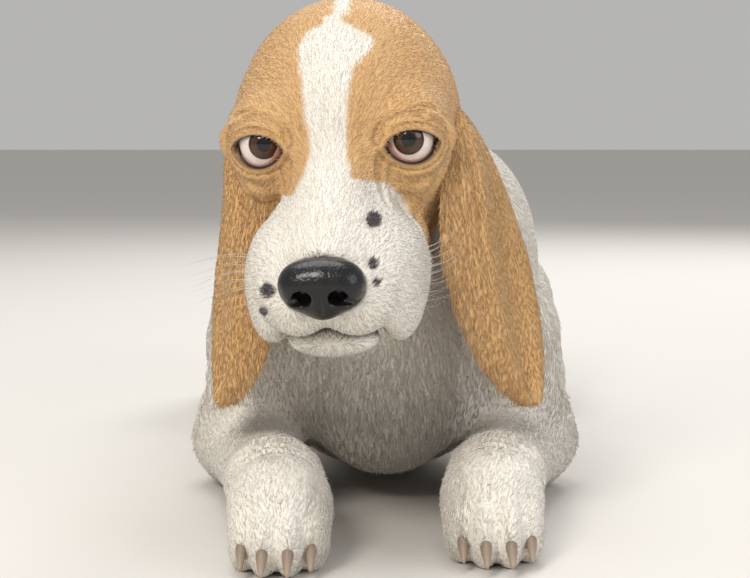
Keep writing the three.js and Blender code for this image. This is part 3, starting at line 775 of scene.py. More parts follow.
# The nose leather with its nostrils, the slits beside them and the groove between them.
def noseForm(p):
    q = intoHead(p)
    d = noseBody(q)
    reach, lift = noseSettings["reach"], noseSettings["lift"]
    for s in bothSides:
        d = smoothMax(d, -ball(q, (s * 10, reach + 12, -38 + lift), (5.4, 10, 4.8)), 2)
        slitFrom, slitTo = (s * 11.5, reach + 12, -40 + lift), (s * 21, reach + 5, -44 + lift)
        d = smoothMax(d, -limb(q, slitFrom, slitTo, 2.6, 1.6), 1.5)
    return smoothMax(d, -limb(q, (0, reach + 15, -32 + lift), (0, reach + 12, -62 + lift), 1.1, 1.5), 1.2)


def makeNose():
    middle, half = onHead(noseSettings["boxMiddle"]), noseSettings["boxHalf"]
    surface = netSurface(noseForm, middle - half, middle + half, noseSettings["cell"])
    return meshFrom("noseLeather", *surface)


# Ears: a long leather that hangs from low on the skull, rolled inwards along both edges
earSettings = {
    -1: {"root": (-63, -64, -12), "out": 14, "hang": (-94, -282, 150), "tip": (-99, -300, 78), "turn": 24},
    1: {"root": (63, -62, -6), "out": 17, "hang": (70, -278, 150), "tip": (88, -300, 78), "turn": 34},
}
earLeather = {
    "widest": 106.0, "thickness": 3.6, "hemDepth": 2.4, "hemAt": -0.58, "rootTurn": 8,
    "across": 61, "down": 91,
    # each of these is a table of shares of the way down and values there
    "width": ([0, .12, .3, .5, .68, .82, .92, .97, 1], [50, 58, 80, 98, 108, 98, 72, 46, 16]),
    "curl": ([0, .25, .6, 1], [0.75, 0.9, 0.8, 0.5]),
    "wave": ([0, .3, .7, 1], [0, 2, 5, 3]),
    "hem": ([0.08, 0.2, 0.65, 0.85], [0, 1, 1, 0]),
    "thick": ([0, .2, .9, 1], [1.6, 1.1, .9, .6]),
}


def makeEar(s, name):
    ear = earSettings[s]
    root = onHead(ear["root"])
    path = [root, root + (s * ear["out"] * 1.6, 0, -14),
            np.array(ear["hang"], float) + (0, 0, 42), np.array(ear["tip"], float)]
    v = np.linspace(0, 1, earLeather["down"])
    u = np.linspace(-1, 1, earLeather["across"])
    t = v[:, None]

    def along(key):
        return np.interp(v, *earLeather[key])[:, None]

    line = ((1 - t) ** 3 * path[0] + 3 * (1 - t) ** 2 * t * path[1]
            + 3 * (1 - t) * t * t * path[2] + t ** 3 * path[3])
    down = unit(np.gradient(line, axis=0))
    ease = v * v * (3 - 2 * v)
    turn = np.radians(earLeather["rootTurn"] * (1 - ease) + ear["turn"] * ease)
    wide = np.stack([s * np.sin(turn), np.cos(turn), 0 * turn], 1)
    wide = unit(wide - (wide * down).sum(1)[:, None] * down)
    inward = unit(np.cross(down, wide))
    inward *= -np.sign(inward[:, 0] * s)[:, None]
    curl = along("curl")
    radius = along("width") * earLeather["widest"] / max(earLeather["width"][1]) / 2 / curl
    wave = along("wave") * np.sin(u * 5.2 + 1.0 + s * 0.6)
    hem = earLeather["hemDepth"] * along("hem") * np.exp(-((u - earLeather["hemAt"]) / 0.07) ** 2)
    depth = radius * (1 - np.cos(u * curl)) + wave + hem
    beside = radius * np.sin(u * curl)
    middle = line[:, None] + wide[:, None] * beside[..., None] + inward[:, None] * depth[..., None]
    normal = np.cross(np.gradient(middle, axis=1), np.gradient(middle, axis=0))
    normal /= np.linalg.norm(normal, axis=2)[..., None] + 1e-9
    if (normal * inward[:, None]).sum(2).mean() > 0:
        normal = -normal
    thick = earLeather["thickness"] * (1 - 0.5 * np.abs(u) ** 4) * along("thick")
    half = normal * (thick / 2)[..., None]
    leather = facedOut(meshFrom(name, *closedSheet(middle + half, middle - half)))
    setAttribute(leather.data, "inner", np.repeat([0, 1], thick.size))
    setAttribute(leather.data, "edge", np.tile(np.abs(u) ** 3, 2 * len(v)))
    return leather


clawSettings = {"radius": 4.6, "length": 20.0, "tipHeight": 6.0, "arch": 3, "rings": 14, "sides": 12}


def makeClaw(name, start):
    start = np.array(start, float)
    end = np.array((start[0], start[1] - clawSettings["length"], clawSettings["tipHeight"]))
    bend = start + (end - start) * 0.55 + (0, 0, clawSettings["arch"])
    t = np.linspace(0, 1, clawSettings["rings"])[:, None]
    line = (1 - t) ** 2 * start + 2 * (1 - t) * t * bend + t * t * end
    down = unit(np.gradient(line, axis=0))
    wide = unit(np.cross((0, 0, 1), down))
    high = np.cross(down, wide)
    angle = np.linspace(0, 2 * np.pi, clawSettings["sides"], endpoint=False)
    thick = clawSettings["radius"] * (1 - 0.75 * t ** 2)
    rings = (line[:, None] + wide[:, None] * (0.8 * thick * np.cos(angle))[..., None]
             + high[:, None] * (thick * np.sin(angle))[..., None])
    claw = ringBody(name, rings, start, end)
    setAttribute(claw.data, "along", [*np.repeat(t[:, 0], clawSettings["sides"]), 0, 1])
    return claw


sidesOf = {-1: "right", 1: "left"}
lids = {s: makeLids(s, f"lids_{sidesOf[s]}") for s in bothSides}
eyes = {s: makeEye(s, f"eyeball_{sidesOf[s]}") for s in bothSides}
haws = {s: makeHaw(s, f"haw_{sidesOf[s]}") for s in bothSides}
print("lids and eyes made")
nose = makeNose()
ears = {s: makeEar(s, f"leather_ear_{sidesOf[s]}") for s in bothSides}
claws = {}
toeNames = ["outer", "third", "second", "inner"]
for s in bothSides:
    order = toeNames[::-1] if s > 0 else toeNames
    fore = ("fore", foreToes, 61, pawAhead[s] + 14, 18)
    hind = ("hind", hindToes, 123, 12, 15)
    for leg, toes, middle, beyond, height in (fore, hind):
        for toe, (dx, y) in zip(order, toes):
            name = f"{sidesOf[s]}_{toe}"
            claw = makeClaw(f"horn_{leg}_{name}", (s * middle + dx, y - beyond, height))
            claws[f"{leg}_claw_{name}"] = claw
print("nose, ears and claws made")

# Marks on the skin and the unwrap of its own shape that the coat's patches follow
skinPlaces = placesOf(skin.data)
headLocal = intoHead(skinPlaces)
setAttribute(skin.data, "lemon", lemonShare(skinPlaces))
setAttribute(skin.data, "dark", np.maximum(spotShare(skinPlaces), lipShare(headLocal)))


def unwrap(piece, name):
    layer = piece.data.uv_layers.new(name=name)
    piece.data.uv_layers.active = layer
    bpy.context.view_layer.objects.active = piece
    piece.select_set(True)
    bpy.ops.object.mode_set(mode="EDIT")
    bpy.ops.mesh.select_all(action="SELECT")
    bpy.ops.uv.smart_project(angle_limit=math.radians(75), island_margin=0.002)
    bpy.ops.object.mode_set(mode="OBJECT")
    piece.select_set(False)


for piece in (skin, *ears.values(), *lids.values()):
    unwrap(piece, "OFBake")
print("skin unwrapped")


# The coat: thin flat tufts that lie along the body, rooted all over the skin
random = np.random.default_rng(11)


# The way the hair lies at each place, and how near the place is to the tail.
def lieOf(p):
    q = intoHead(p)
    front = np.minimum(blend(p, foreleg(-1)), blend(p, foreleg(1)))
    hind = np.minimum(blend(p, hindleg(-1)), blend(p, hindleg(1)))
    groups = np.stack([headForm(q), blend(p, trunk), front, hind, blend(p, tail)])
    weight = np.exp(-(groups - groups.min(0)) / 14)
    weight /= weight.sum(0)

    def share(first, last, x):
        return smoothStep(first, last, x)[:, None]

    def between(part, first, last):
        return (1 - part) * first + part * last

    cheek = share(16, 50, np.abs(q[:, 0]))
    headWay = -ahead + cheek * (0.5 * np.sign(q[:, :1]) * across - 0.6 * upward)
    headWay = headWay - (1 - share(-60, -30, q[:, 2])) * 0.5 * upward
    chest = share(-120, -230, p[:, 1])
    bodyWay = between(chest, (0, 1, -0.25), (0, 0.35, -1))
    upper = share(52, 84, p[:, 2])
    frontWay = between(upper, (-0.1, -1, -0.25), (0, 0.15, -1))
    frontWay = frontWay + (1 - upper) * np.sign(p[:, :1]) * (-0.15, 0, 0)
    paw = share(250, 225, p[:, 1]) * share(56, 40, p[:, 2])
    hindWay = between(paw, (0, 0.6, -0.75), (0, -1, -0.3))
    joints = np.array(tailLine)[:, :3]
    nearest = np.argmin([limb(p, a, b, 0, 0) for a, b in zip(joints[:-1], joints[1:])], axis=0)
    tailWay = unit((joints[1:] - joints[:-1])[nearest])
    ways = np.stack([headWay, bodyWay, frontWay, hindWay, tailWay])
    return (ways * weight[..., None]).sum(0), weight[4]


# Places, normals, unwrap places and vertex numbers of roots spread over a piece, by a spacing in mm.
def rootsOn(piece, spacing, keep):
    mesh = piece.data
    mesh.calc_loop_triangles()
    corners, loops = (readAll(mesh.loop_triangles, key, 3, np.int32) for key in ("vertices", "loops"))
    uv = readAll(mesh.uv_layers["OFBake"].data, "uv", 2)
    places, normals = placesOf(mesh), readAll(mesh.vertex_normals, "vector", 3).astype(float)
    a, b, c = (places[corners[:, i]] for i in range(3))
    area = np.linalg.norm(np.cross(b - a, c - a), axis=1) / 2
    total = np.cumsum(area * keep[corners].mean(1) / spacing[corners].mean(1) ** 2)
    number = int(total[-1])
    picks = np.searchsorted(total, (np.arange(number) + random.random(number)) * total[-1] / number)
    picks = np.minimum(picks, len(corners) - 1)
    r1, r2 = np.sqrt(random.random(number)), random.random(number)
    weights = np.stack([1 - r1, r1 * (1 - r2), r1 * r2], 1)[..., None]
    chosen = corners[picks]
    place = (places[chosen] * weights).sum(1)
    normal = unit((normals[chosen] * weights).sum(1))
    return place, normal, (uv[loops[picks]] * weights).sum(1), chosen[:, 0]


# Root depth, crown height and set-back in mm or shares of the width; least heights over the floor in mm
tuftSettings = {
    "lean": 0.2, "sink": 0.25, "crown": 0.32, "setBack": 0.2, "patch": 0.003,
    "leastHeights": [0.05, 0.05, 0.5, 0.2],
}


# Each tuft is a thin closed blade: a three-cornered root and a tip.
def makeTufts(name, place, normal, way, unwrapPlace, length, width, rise, marks):
    number = len(place)
    way = way - (way * normal).sum(1)[:, None] * normal
    way /= np.linalg.norm(way, axis=1)[:, None] + 1e-9
    lean = random.normal(0, tuftSettings["lean"], number)[:, None]
    way = way * np.cos(lean) + np.cross(normal, way) * np.sin(lean)
    length = (length * random.uniform(0.7, 1.25, number))[:, None]
    width = (width * random.uniform(0.75, 1.3, number))[:, None]
    rise = (rise * random.uniform(0.6, 1.5, number))[:, None]
    beside, under = np.cross(normal, way) * width / 2, normal * tuftSettings["sink"]
    crown = place + normal * width * tuftSettings["crown"] - way * width * tuftSettings["setBack"]
    tip = place + way * length * np.cos(rise) + normal * length * np.sin(rise)
    vertices = np.stack([place - beside - under, place + beside - under, crown, tip], 1).reshape(-1, 3)
    vertices[:, 2] = np.maximum(vertices[:, 2], np.tile(tuftSettings["leastHeights"], number))
    base = np.arange(number)[:, None, None] * 4
    faces = (base + np.array([(0, 2, 1), (0, 1, 3), (1, 2, 3), (2, 0, 3)])).reshape(-1, 3)
    piece = meshFrom(name, vertices, faces)
    patch = np.array([(-0.5, -0.5), (0.5, -0.5), (0, 0), (0, 0.5)]) * tuftSettings["patch"]
    corners = np.clip(unwrapPlace[:, None] + patch, 0.0005, 0.9995)
    layer = piece.data.uv_layers.new(name="OFBake")
    layer.data.foreach_set("uv", corners.reshape(-1, 2)[faces.ravel()].ravel().astype(np.float32))
    for mark, values in {"tone": random.random(number), **marks}.items():
        setAttribute(piece.data, mark, np.repeat(values, 4))
    return piece


hairSettings = {
    "face": {"spacing": 1.3, "length": 3.8, "width": 0.62},
    "body": {"spacing": 2.0, "length": 8.0, "width": 1.05},
    "footSpacing": 1.5, "footHeight": 56, "rise": 0.09, "featherRise": 0.10, "featherLength": 0.8,
    "mostInPiece": 48000,
}


def hairSize(key, faceShare):
    body, face = hairSettings["body"][key], hairSettings["face"][key]
    return body + faceShare * (face - body)


def coatOf(piece, prefix, bare):
    places = placesOf(piece.data)
    head = np.interp(np.linalg.norm(places - betweenEyes, axis=1), [120, 230], [1, 0])
    foot = nearFeet(places, hairSettings["footHeight"]) & (np.abs(places[:, 0]) > 20) & (places[:, 1] < 360)
    spacing = hairSize("spacing", head)
    spacing = np.where(foot, np.minimum(spacing, hairSettings["footSpacing"]), spacing)
    place, normal, at, vertex = rootsOn(piece, spacing, 1 - bare)
    way, nearTail = lieOf(place)
    head = head[vertex]
    small = np.maximum(head, foot[vertex] * 0.9)
    # The long hair: under the tail, behind the thighs, and down the chest
    brush = smoothStep(0.4, 0.8, nearTail) * (0.35 + 0.65 * smoothStep(0.1, -0.6, normal[:, 2]))
    breech = smoothStep(300, 350, place[:, 1]) * smoothStep(30, 80, np.abs(place[:, 0])) * (1 - nearTail)
    chest = smoothStep(-215, -260, place[:, 1]) * smoothStep(150, 110, place[:, 2])
    chest *= np.abs(place[:, 0]) < 45
    feather = np.clip(brush + 0.7 * breech + 0.8 * chest * (1 - head), 0, 1)
    length = hairSize("length", small) * (1 + hairSettings["featherLength"] * feather)
    width = hairSize("width", small)
    rise = hairSettings["rise"] + hairSettings["featherRise"] * feather
    order = np.argsort(place[:, 1], kind="stable")
    pieces = []
    for n, part in enumerate(np.array_split(order, math.ceil(len(order) / hairSettings["mostInPiece"]))):
        here = place[part]
        marks = {"lemon": lemonShare(here + random.normal(0, 0.7, here.shape)),
                 "dark": np.maximum(spotShare(here), lipShare(intoHead(here)))}
        pieces.append(makeTufts(f"{prefix}_{n + 1}", here, normal[part], way[part], at[part],
                                length[part], width[part], rise[part], marks))
    return pieces


# No hair where the skin lies on the floor, under the nose leather, round the eyes and on the lips
skinBare = (skinPlaces[:, 2] < 2.0) | (noseBody(headLocal) < 1.2) | (lipShare(headLocal) > 0.4)
for s in bothSides:
    skinBare |= within(headLocal, eyeCentre(s) + (0, 6, 0), eyeSettings["bareReach"])
coat = coatOf(skin, "coat", skinBare.astype(float))
print("coat made:", [len(p.data.polygons) for p in coat])

earHair = {
    "spacing": 1.45, "innerSpacing": 0.9, "length": 5.0, "edgeLength": 2.2, "innerLength": 1.2,
    "width": 0.8, "rise": 0.1, "edgeRise": 0.12, "way": (0.0, -0.25, -1.0), "innerPale": 0.35,
}
lidHair = {"spacing": 1.1, "length": 2.8, "width": 0.55, "rise": 0.12, "mostRim": 0.3, "deepest": -0.9}


def earCoat(s, name):
    inner, edge = (readAttribute(ears[s].data, mark) for mark in ("inner", "edge"))
    spacing = earHair["spacing"] + earHair["innerSpacing"] * inner
    place, normal, at, vertex = rootsOn(ears[s], spacing, np.ones(len(inner)))
    inner, edge = inner[vertex], edge[vertex]
    length = earHair["length"] + earHair["edgeLength"] * edge - earHair["innerLength"] * inner
    rise = earHair["rise"] + earHair["edgeRise"] * edge
    marks = {"lemon": 1 - earHair["innerPale"] * inner, "dark": np.zeros(len(place)), "inner": inner}
    way = np.broadcast_to(earHair["way"], place.shape)
    return makeTufts(name, place, normal, way, at, length, earHair["width"], rise, marks)


def lidCoat(s, name):
    rim = readAttribute(lids[s].data, "rim")
    haired = (rim < lidHair["mostRim"]).astype(float)
    place, normal, at, _ = rootsOn(lids[s], np.full(len(rim), lidHair["spacing"]), haired)
    outside = closedSkin(place) > lidHair["deepest"]
    place, normal, at = place[outside], normal[outside], at[outside]
    marks = {"lemon": lemonShare(place), "dark": np.zeros(len(place))}
    sizes = (lidHair[key] for key in ("length", "width", "rise"))
    return makeTufts(name, place, normal, lieOf(place)[0], at, *sizes, marks)


earCoats = {s: earCoat(s, f"coat_ear_{sidesOf[s]}") for s in bothSides}
lidCoats = {s: lidCoat(s, f"coat_lids_{sidesOf[s]}") for s in bothSides}
for s in bothSides:
    setAttribute(ears[s].data, "lemon", np.ones(len(ears[s].data.vertices)))
    setAttribute(lids[s].data, "lemon", lemonShare(placesOf(lids[s].data)))
print("ear and lid coat made:", [len(p.data.polygons) for p in (*earCoats.values(), *lidCoats.values())])


# Materials. A link is a node with the name or number of its output
def colour(hexValue):
    channels = [int(hexValue[i:i + 2], 16) / 255 for i in (1, 3, 5)]
    return tuple(c / 12.92 if c <= 0.04045 else ((c + 0.055) / 1.055) ** 2.4 for c in channels) + (1.0,)


# Adds a node: each input, by socket name or number, is a value or a link.
def addNode(tree, kind, inputs=None, **properties):
    node = tree.nodes.new(kind)
    for key, value in properties.items():
        setattr(node, key, value)
    for key, value in (inputs or {}).items():
        if isinstance(value, tuple) and isinstance(value[0], bpy.types.Node):
            tree.links.new(value[0].outputs[value[1]], node.inputs[key])
        else:
            node.inputs[key].default_value = value
    return node


def attribute(tree, name):
    return addNode(tree, "ShaderNodeAttribute", attribute_name=name), "Fac"


def ownPlace(tree):
    return addNode(tree, "ShaderNodeTexCoord"), "Object"


# Noise over the piece's own shape with grains of a size in mm, or over other places.
def noise(tree, size, detail=2.0, places=None, **settings):
    inputs = {"Vector": places or ownPlace(tree), "Scale": 1000 / size, "Detail": detail, **settings}
    return addNode(tree, "ShaderNodeTexNoise", inputs), "Fac"


def stretched(tree, vector, scale):
    return addNode(tree, "ShaderNodeMapping", {"Vector": vector, "Scale": scale}), "Vector"


def calc(tree, operation, *values, **properties):
    node = addNode(tree, "ShaderNodeMath", dict(enumerate(values)), operation=operation, **properties)
    return node, "Value"


def mapped(tree, value, before, after, **properties):
    ends = dict(zip(("From Min", "From Max", "To Min", "To Max"), (*before, *after)))
    return addNode(tree, "ShaderNodeMapRange", {"Value": value, **ends}, **properties), "Result"


# Mixes two colours, each a hex value or a link.
def mixed(tree, share, a, b):
    a, b = (colour(v) if isinstance(v, str) else v for v in (a, b))
    return addNode(tree, "ShaderNodeMix", {"Factor": share, "A": a, "B": b}, data_type="RGBA"), "Result"


# A bump with its depth in mm.
def bump(tree, height, strength, depth, **properties):
    inputs = {"Height": height, "Strength": strength, "Distance": depth / 1000}
    return addNode(tree, "ShaderNodeBump", inputs, **properties), "Normal"


def newMaterial(name):
    material = bpy.data.materials.new(name)
    material.use_nodes = True
    material.node_tree.nodes.clear()
    return material, material.node_tree


def finishMaterial(material, inputs):
    shader = addNode(material.node_tree, "ShaderNodeBsdfPrincipled", inputs)
    addNode(material.node_tree, "ShaderNodeOutputMaterial", {"Surface": (shader, "BSDF")})
    return material


coatColours = {
    "white": ("#E7DFD2", "#F6F2EA"), "lemon": ("#CC9D63", "#E2BD87"),
    "spot": "#3A3336", "earInner": "#D8B59A", "lidRim": "#2B211F",
}


# Short smooth hound hair over pink skin: each hair is matt, and the coat glows a little along its edges.
# The ear's leather is paler inside, and the lids have dark wet pigment along the rim.
def coatMaterial(name, tufts=False, leather=False, lid=False):
    material, tree = newMaterial(name)
    inputs = {"Roughness": 0.62, "Specular IOR Level": 0.35, "Sheen Weight": 0.25, "Sheen Roughness": 0.45}
    drift = noise(tree, 38, 3.0, Roughness=0.6)  # cloudy change of shade every 38 mm
    fleck = noise(tree, 2.4, Roughness=0.7)  # flecks the width of a tuft
    shade = calc(tree, "MULTIPLY_ADD", fleck, 0.5, calc(tree, "MULTIPLY", drift, 0.5))
    if tufts:
        shade = calc(tree, "MULTIPLY_ADD", attribute(tree, "tone"), 0.55, shade)
        shade = calc(tree, "SUBTRACT", shade, 0.26, use_clamp=True)
    white, lemon = (mixed(tree, shade, *coatColours[key]) for key in ("white", "lemon"))
    base = mixed(tree, attribute(tree, "lemon"), white, lemon)
    if leather:
        share = calc(tree, "MULTIPLY", attribute(tree, "inner"), 0.55)
        base = mixed(tree, share, base, coatColours["earInner"])
    base = mixed(tree, attribute(tree, "dark"), base, coatColours["spot"])
    if lid:
        rim = attribute(tree, "rim")
        base = mixed(tree, rim, base, coatColours["lidRim"])
        inputs["Roughness"] = mapped(tree, rim, (0.0, 1.0), (0.62, 0.28))
    if not tufts:
        inputs["Normal"] = bump(tree, noise(tree, 1.1), 0.35, 0.6)  # hair ends 1.1 mm apart
    return finishMaterial(material, {"Base Color": base, **inputs})


# A wet eye: off-white sclera with faint vessels, a dark limbus, brown iris fibres and a black pupil.
def eyeMaterial():
    material, tree = newMaterial("wet_eye")
    angle = attribute(tree, "eyeAngle")
    polar = addNode(tree, "ShaderNodeCombineXYZ", {"X": angle, "Y": attribute(tree, "eyeTurn"), "Z": 0.0})
    fibres = stretched(tree, (polar, "Vector"), (2.0, 34.0, 1.0))
    streak = addNode(tree, "ShaderNodeTexNoise", {"Vector": fibres, "Scale": 1.6, "Detail": 3.0})
    iris = mixed(tree, (streak, "Fac"), "#24160F", "#5B3A22")
    sclera = mixed(tree, noise(tree, 3.0, 4.0, Distortion=1.5), "#F2ECE6", "#E0C6BC")

    def beyond(low, high):
        return mapped(tree, angle, (low, high), (0.0, 1.0), interpolation_type="SMOOTHSTEP")

    ringed = mixed(tree, beyond(0.74, 0.98), iris, "#120B08")
    centre = mixed(tree, beyond(0.40, 0.46), "#050404", ringed)
    base = mixed(tree, beyond(0.96, 1.06), centre, sclera)
    return finishMaterial(material, {"Base Color": base, "Roughness": 0.1, "IOR": 1.36,
                                     "Coat Weight": 0.6, "Coat Roughness": 0.02})


# Nose leather: black, damp, with a pebbled grain about 1 mm across.
def noseMaterial():
    material, tree = newMaterial("nose_leather_damp")
    pebble = addNode(tree, "ShaderNodeTexVoronoi", {"Vector": ownPlace(tree), "Scale": 1000 / 1.5,
                                                    "Randomness": 1.0}, feature="SMOOTH_F1")
    worn = noise(tree, 9, 3.0)
    return finishMaterial(material, {
        "Base Color": mixed(tree, worn, "#09080A", "#191618"),
        "Roughness": mapped(tree, worn, (0.0, 1.0), (0.22, 0.42)),
        "Normal": bump(tree, (pebble, "Distance"), 0.5, 0.6, invert=True),
        "Specular IOR Level": 0.35, "Coat Weight": 0.3, "Coat Roughness": 0.16})


# The moist pink lining of the lid.
def hawMaterial():
    material, tree = newMaterial("moist_lid_lining")
    base = mixed(tree, noise(tree, 2.0, 3.0), "#93605A", "#C08F84")
    return finishMaterial(material, {"Base Color": base, "Roughness": 0.25,
                                     "Coat Weight": 0.6, "Coat Roughness": 0.08})


# Horn: grey-brown, streaked along its length, paler at the worn tip.
def clawMaterial():
    material, tree = newMaterial("claw_horn")
    streak = noise(tree, 0.8, 3.0, stretched(tree, ownPlace(tree), (1.0, 0.12, 1.0)))
    base = mixed(tree, attribute(tree, "along"), mixed(tree, streak, "#4B3D34", "#8A7564"), "#A99683")
    return finishMaterial(material, {"Base Color": base, "Roughness": 0.38,
                                     "Normal": bump(tree, streak, 0.3, 0.3)})


# A stiff pale whisker, glossier than the coat.
def whiskerMaterial():
    material, tree = newMaterial("whisker_hair")
    base = mixed(tree, noise(tree, 6), "#8C7F74", "#EDE6DC")
    return finishMaterial(material, {"Base Color": base, "Roughness": 0.35})


def dress(piece, material):
    piece.data.materials.clear()
    piece.data.materials.append(material)


tuftHair = coatMaterial("short_coat_tufts", tufts=True)
whiskerHair = whiskerMaterial()
for pieces, material in (
    ([skin], coatMaterial("short_coat")),
    ([*coat, *lidCoats.values()], tuftHair),
    (ears.values(), coatMaterial("ear_leather", leather=True)),
    (earCoats.values(), coatMaterial("ear_tufts", tufts=True, leather=True)),
    (lids.values(), coatMaterial("lid_skin", lid=True)),
    (eyes.values(), eyeMaterial()),
    (haws.values(), hawMaterial()),
    ([nose], noseMaterial()),
    (claws.values(), clawMaterial()),
):
    for piece in pieces:
        dress(piece, material)
print("materials made")


# Whiskers: rows on each side of the muzzle, a few over the eyes and on the chin, each a bent bristle
whiskerSettings = {"length": 46.0, "thickness": 0.42, "bend": 0.35, "seed": 5}


# Roots in the head's space, the ways they point and their sizes.
def whiskerRoots():
    bristles = []
    for s in bothSides:
        for row, (u, count) in enumerate(((-42, 4), (-50, 5), (-58, 5), (-66, 4))):
            for n in range(count):
                root = (s * 60, 88 - 9 * n - 3 * (row % 2), u)
                bristles.append((*root, s * 0.85, -0.45 - 0.12 * n, -0.28 - 0.05 * row, 0.55 + 0.13 * n))
        for n in range(3):
            bristles.append((s * (26 + 5 * n), 24, 20 - 2 * n, s * 0.2, 0.3, 0.8, 0.45))
        bristles.append((s * 62, -14, -34, s * 0.9, -0.5, -0.2, 0.5))
    for n in range(-2, 3):
        bristles.append((n * 7, 90, -108, n * 0.15, 0.1, -1, 0.35))
    bristles = np.array(bristles, float)
    return bristles[:, :3], bristles[:, 3:6], bristles[:, 6]


# Moves points of the head along a way until they reach the skin.
def ontoSkin(local, toward):
    toward = unit(toward)
    for _ in range(60):
        d = closedSkin(onHead(local))
        local = local + toward * np.clip(d, -3, 3)[:, None]
    return local


# The bristles as a tree of nodes, with length, thickness, bend and seed as its inputs.
def whiskerTree():
    tree = bpy.data.node_groups.new("Whiskers", "GeometryNodeTree")
    for way in ("INPUT", "OUTPUT"):
        tree.interface.new_socket("Geometry", in_out=way, socket_type="NodeSocketGeometry")
    values = {"Length": whiskerSettings["length"] / 1000, "Thickness": whiskerSettings["thickness"] / 1000,
              "Bend": whiskerSettings["bend"], "Seed": whiskerSettings["seed"]}
    settings = {}
    for label, value in values.items():
        kind = "NodeSocketInt" if isinstance(value, int) else "NodeSocketFloat"
        socket = tree.interface.new_socket(label, in_out="INPUT", socket_type=kind)
        socket.default_value = value
        settings[socket.identifier] = value
    inputs = addNode(tree, "NodeGroupInput")
    length = (inputs, "Length")
    fall = calc(tree, "MULTIPLY", calc(tree, "MULTIPLY", length, (inputs, "Bend")), -1.0)
    middle = addNode(tree, "ShaderNodeCombineXYZ", {"Z": calc(tree, "MULTIPLY", length, 0.5)})
    end = addNode(tree, "ShaderNodeCombineXYZ", {"X": fall, "Z": length})
    path = addNode(tree, "GeometryNodeCurveQuadraticBezier", {
        "Resolution": 10, "Start": (0, 0, 0), "Middle": (middle, "Vector"), "End": (end, "Vector")})
    along = addNode(tree, "GeometryNodeSplineParameter")
    taper = mapped(tree, (along, "Factor"), (0.0, 1.0), (0.5, 0.06))
    thick = calc(tree, "MULTIPLY", (inputs, "Thickness"), taper)
    path = addNode(tree, "GeometryNodeSetCurveRadius", {"Curve": (path, "Curve"), "Radius": thick})
    ring = addNode(tree, "GeometryNodeCurvePrimitiveCircle", {"Resolution": 6, "Radius": 1.0})
    bristle = addNode(tree, "GeometryNodeCurveToMesh", {
        "Curve": (path, "Curve"), "Profile Curve": (ring, "Curve"), "Fill Caps": True,
        "Scale": thick})
    way = addNode(tree, "GeometryNodeInputNamedAttribute", {"Name": "way"}, data_type="FLOAT_VECTOR")
    turned = addNode(tree, "FunctionNodeAlignRotationToVector", {"Vector": (way, "Attribute")}, axis="Z")
    size = addNode(tree, "GeometryNodeInputNamedAttribute", {"Name": "size"}, data_type="FLOAT")
    chance = addNode(tree, "FunctionNodeRandomValue", {2: 0.8, 3: 1.25, "Seed": (inputs, "Seed")},
                     data_type="FLOAT")
    placed = addNode(tree, "GeometryNodeInstanceOnPoints", {
        "Points": (inputs, "Geometry"), "Instance": (bristle, "Mesh"), "Rotation": (turned, "Rotation"),
        "Scale": calc(tree, "MULTIPLY", (size, "Attribute"), (chance, 1))})
    real = addNode(tree, "GeometryNodeRealizeInstances", {"Geometry": (placed, "Instances")})
    coated = addNode(tree, "GeometryNodeSetMaterial", {
        "Material": whiskerHair, "Geometry": (real, "Geometry")})
    addNode(tree, "NodeGroupOutput", {"Geometry": (coated, "Geometry")})
    return tree, settings


def makeWhiskers():
    roots, ways, sizes = whiskerRoots()
    # Toward the skin: inwards at the sides, back over the eyes, up at the chin
    x, y, z = roots.T
    inward = np.stack([-np.sign(x) * (np.abs(x) > 20), -0.8 * (np.abs(y) < 30),
                       1.0 * (z < -90) - 0.4 * (z > 10)], 1)
    inward[np.linalg.norm(inward, axis=1) == 0] = (0, 0, 1)
    points = bpy.data.meshes.new("whisker_roots")
    points.from_pydata(((onHead(ontoSkin(roots, inward)) + offset) / 1000).tolist(), [], [])
    direction = points.attributes.new("way", "FLOAT_VECTOR", "POINT")
    direction.data.foreach_set("vector", (unit(ways) @ headAxes.T).astype(np.float32).ravel())
    setAttribute(points, "size", sizes)
    holder = newObject("whisker_roots", points)
    modifier = holder.modifiers.new("Whiskers", "NODES")
    modifier.node_group, settings = whiskerTree()
    for identifier, value in settings.items():
        modifier[identifier] = value
    shaped = holder.evaluated_get(bpy.context.evaluated_depsgraph_get())
    mesh = bpy.data.meshes.new_from_object(shaped)
    bpy.data.objects.remove(holder)
    mesh.name = "whiskers"
    mesh.shade_smooth()
    piece = newObject("whiskers", mesh)
    dress(piece, whiskerHair)
    return facedOut(piece)


whiskers = makeWhiskers()
print("whiskers made:", len(whiskers.data.polygons))

# Each piece rides on the body and stands for the solids whose place it takes
flesh = ["head", "neck", "torso", "tail"]
for part in ("forepaw", "forearm", "upper_arm", "hindpaw", "lower_leg", "thigh"):
    flesh += [f"{part}_{name}" for name in sidesOf.values()]


def mount(piece, slot, *nodes):
    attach(piece, "root")
    if nodes:
        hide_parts(*nodes)


mount(skin, "white_coat", *flesh)
for piece in (*coat, *lidCoats.values(), *lids.values(), whiskers):
    mount(piece, "white_coat")
for s in bothSides:
    mount(ears[s], "lemon_coat", f"ear_{sidesOf[s]}")
    mount(earCoats[s], "lemon_coat")
    mount(eyes[s], "eye", f"eye_{sidesOf[s]}")
    mount(haws[s], "eye")
mount(nose, "nose_leather", "nose")
for node, claw in claws.items():
    mount(claw, "claw_horn", node)

# Floor, light and camera
stageSettings = {
    "floorHalf": 30.0, "floorColour": "#DAD7D2", "worldColour": "#F7F6F4", "worldStrength": 0.5,
    "lampsAim": (0, -0.25, 0.12),
}


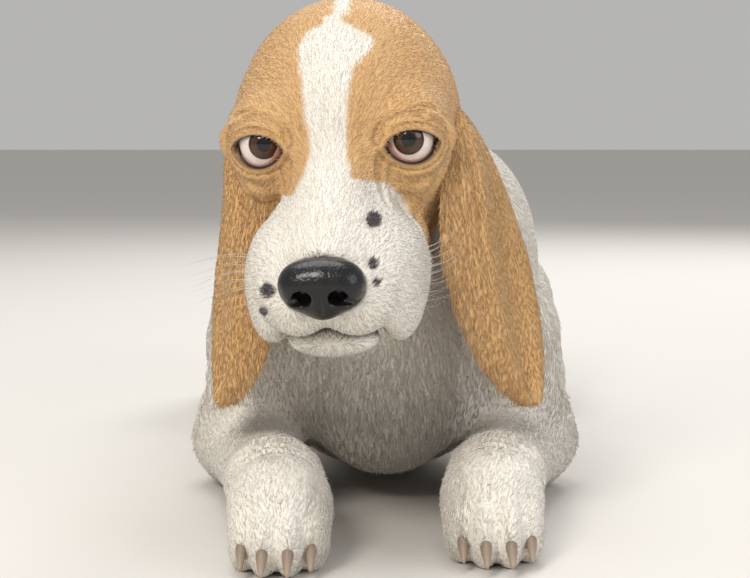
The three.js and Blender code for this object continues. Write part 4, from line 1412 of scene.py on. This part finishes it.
def makeFloor():
    corners = [(x, y, 0) for x, y in ((-1, -1), (1, -1), (1, 1), (-1, 1))]
    mesh = bpy.data.meshes.new("floor")
    mesh.from_pydata(np.multiply(corners, stageSettings["floorHalf"]).tolist(), [], [(0, 1, 2, 3)])
    floor = newObject("floor", mesh)
    # Matt studio paper
    dress(floor, finishMaterial(newMaterial("studio_paper")[0], {
        "Base Color": colour(stageSettings["floorColour"]), "Roughness": 0.9, "Specular IOR Level": 0.1}))


lamps = [
    ("key", (-0.8, -2.0, 1.45), 0.75, 25, "#FFF9F2"),
    ("fill", (2.2, -1.8, 1.2), 1.8, 20, "#F4F7FF"),
    ("rim", (0.9, 2.2, 1.9), 1.2, 36, "#FFFFFF"),
    ("top", (-0.4, 0.1, 2.6), 2.0, 30, "#FFFFFF"),
]


def makeLight():
    for name, place, size, power, tint in lamps:
        lamp = bpy.data.lights.new(name, "AREA")
        lamp.shape = "DISK"
        lamp.size = size
        lamp.energy = power
        lamp.color = colour(tint)[:3]
        holder = newObject(name, lamp)
        holder.location = place
        aim = Vector(stageSettings["lampsAim"]) - Vector(place)
        holder.rotation_euler = aim.to_track_quat("-Z", "Y").to_euler()
    world = bpy.data.worlds.new("studio")
    world.use_nodes = True
    background = world.node_tree.nodes["Background"]
    background.inputs["Color"].default_value = colour(stageSettings["worldColour"])
    background.inputs["Strength"].default_value = stageSettings["worldStrength"]
    bpy.context.scene.world = world


cameraSettings = {
    "place": (-7.0, -1385.0, 240.0), "focalPixels": 1800.0, "horizonPixel": 136.0, "picture": (750, 578),
    "sensor": 36.0,
}


def makeCamera():
    camera = newObject("camera", bpy.data.cameras.new("camera"))
    width, height = cameraSettings["picture"]
    camera.data.sensor_width = cameraSettings["sensor"]
    camera.data.lens = cameraSettings["sensor"] * cameraSettings["focalPixels"] / width
    downward = math.atan((height / 2 - cameraSettings["horizonPixel"]) / cameraSettings["focalPixels"])
    camera.rotation_euler = (math.pi / 2 - downward, 0, 0)
    camera.location = Vector((np.array(cameraSettings["place"]) + offset) / 1000)
    camera.data.clip_end = 100
    bpy.context.scene.camera = camera


makeFloor()
makeLight()
makeCamera()
bpy.context.scene.view_settings.view_transform = "Standard"
print("stage made")
